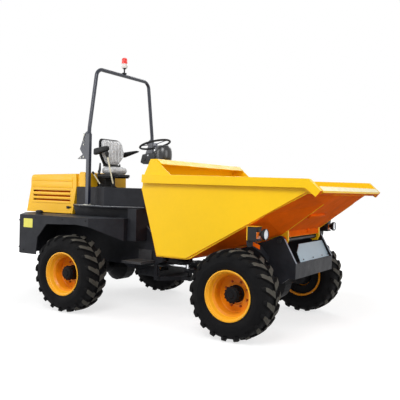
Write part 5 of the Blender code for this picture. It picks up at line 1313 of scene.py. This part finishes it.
add_lathe(bm, dial_rim, at(POT_X, 0, 1.85), (0, 0, 1), 40)
piece("switches_and_bezel", bm, CHROME, "rear_chassis")
bm = bmesh.new()
disc = [(0, 0.0005), (0.03, 0.0005), (0.03, 0.0018), (0, 0.0018)]
add_lathe(bm, disc, at(POT_X, 0, 1.85), (0, 0, 1), 40)
piece("dial", bm, PALE_BAND, "rear_chassis")

# Steering wheel: round rim, three spokes, hub pad
bm = bmesh.new()
turn = tilt_axis.to_track_quat("Z", "Y").to_matrix()
add_ring(bm, wheel_at, tilt_axis, 0.1775, 0.012, 96, 16)
made = piece("steering_wheel_rim", bm, SEAL, "steering_wheel", 60)
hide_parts("steering_wheel")
bm = bmesh.new()
for degrees in (90, 210, 330):
    a = math.radians(degrees)
    frame_of = Matrix.Translation(wheel_at) @ (turn @ Matrix.Rotation(a, 3, "Z")).to_4x4()
    add_box(bm, (0.022, -0.0125, -0.003), (0.17, 0.0125, 0.0025), 0.002, 2, frame_of)
    add_box(bm, (0.03, -0.004, 0.0025), (0.16, 0.004, 0.0045), 0.001, 1, frame_of)
hub_pad = [
    (0, -0.08), (0.0115, -0.08), (0.0115, -0.03), (0.028, -0.022), (0.03, -0.01), (0.03, 0.004),
    (0.027, 0.009), (0.02, 0.0115), (0, 0.0118),
]
add_lathe(bm, hub_pad, wheel_at, tilt_axis, 36)
piece("steering_wheel_spokes", bm, SPOKE_PLASTIC, "steering_wheel", 45)

# CAD nodes that keep their shape
dress(["skip_tub", "skip_side_left", "skip_side_right"], SKIP_PAINT, 0.004, 3)
dress(["rear_frame", "front_frame", "fender_left", "fender_right"], CHARCOAL, 0.003)
dress(["operator_platform", "fuel_tank", "hydraulic_tank"], CHARCOAL, 0.003)
dress(["counterweight"], CHARCOAL, 0.01, 3)
dress(["roll_post_left", "roll_post_right"], POST_PAINT, 0.004, 3)
dress(["engine_block"], DARK, 0.01)
dress(["hood", "engine_cowl"], HOOD_PAINT, 0.008, 3)
dress(["step_left", "step_right"], TREAD_PLATE, 0.002)
dress(["nose_cover"], COVER, 0.002)
dress(["lamp_bracket_left", "lamp_bracket_right"], CHARCOAL, 0.0015)
dress(["skip_pivot_pin", "articulation_pin", "hood_pin"], BLACK_STEEL, 0.002)
dress(["axle_front", "axle_rear"], CAST, 0.004)
dress(["seat_base"], PLASTIC, 0.005, 3)
dress(["tip_cylinder_barrel", "steer_cylinder_left_barrel", "steer_cylinder_right_barrel"], CHARCOAL, 0.001)
dress(["tip_cylinder_rod", "steer_cylinder_left_rod", "steer_cylinder_right_rod"], CHROME, 0.0005)

bpy.context.scene.view_settings.view_transform = "Standard"
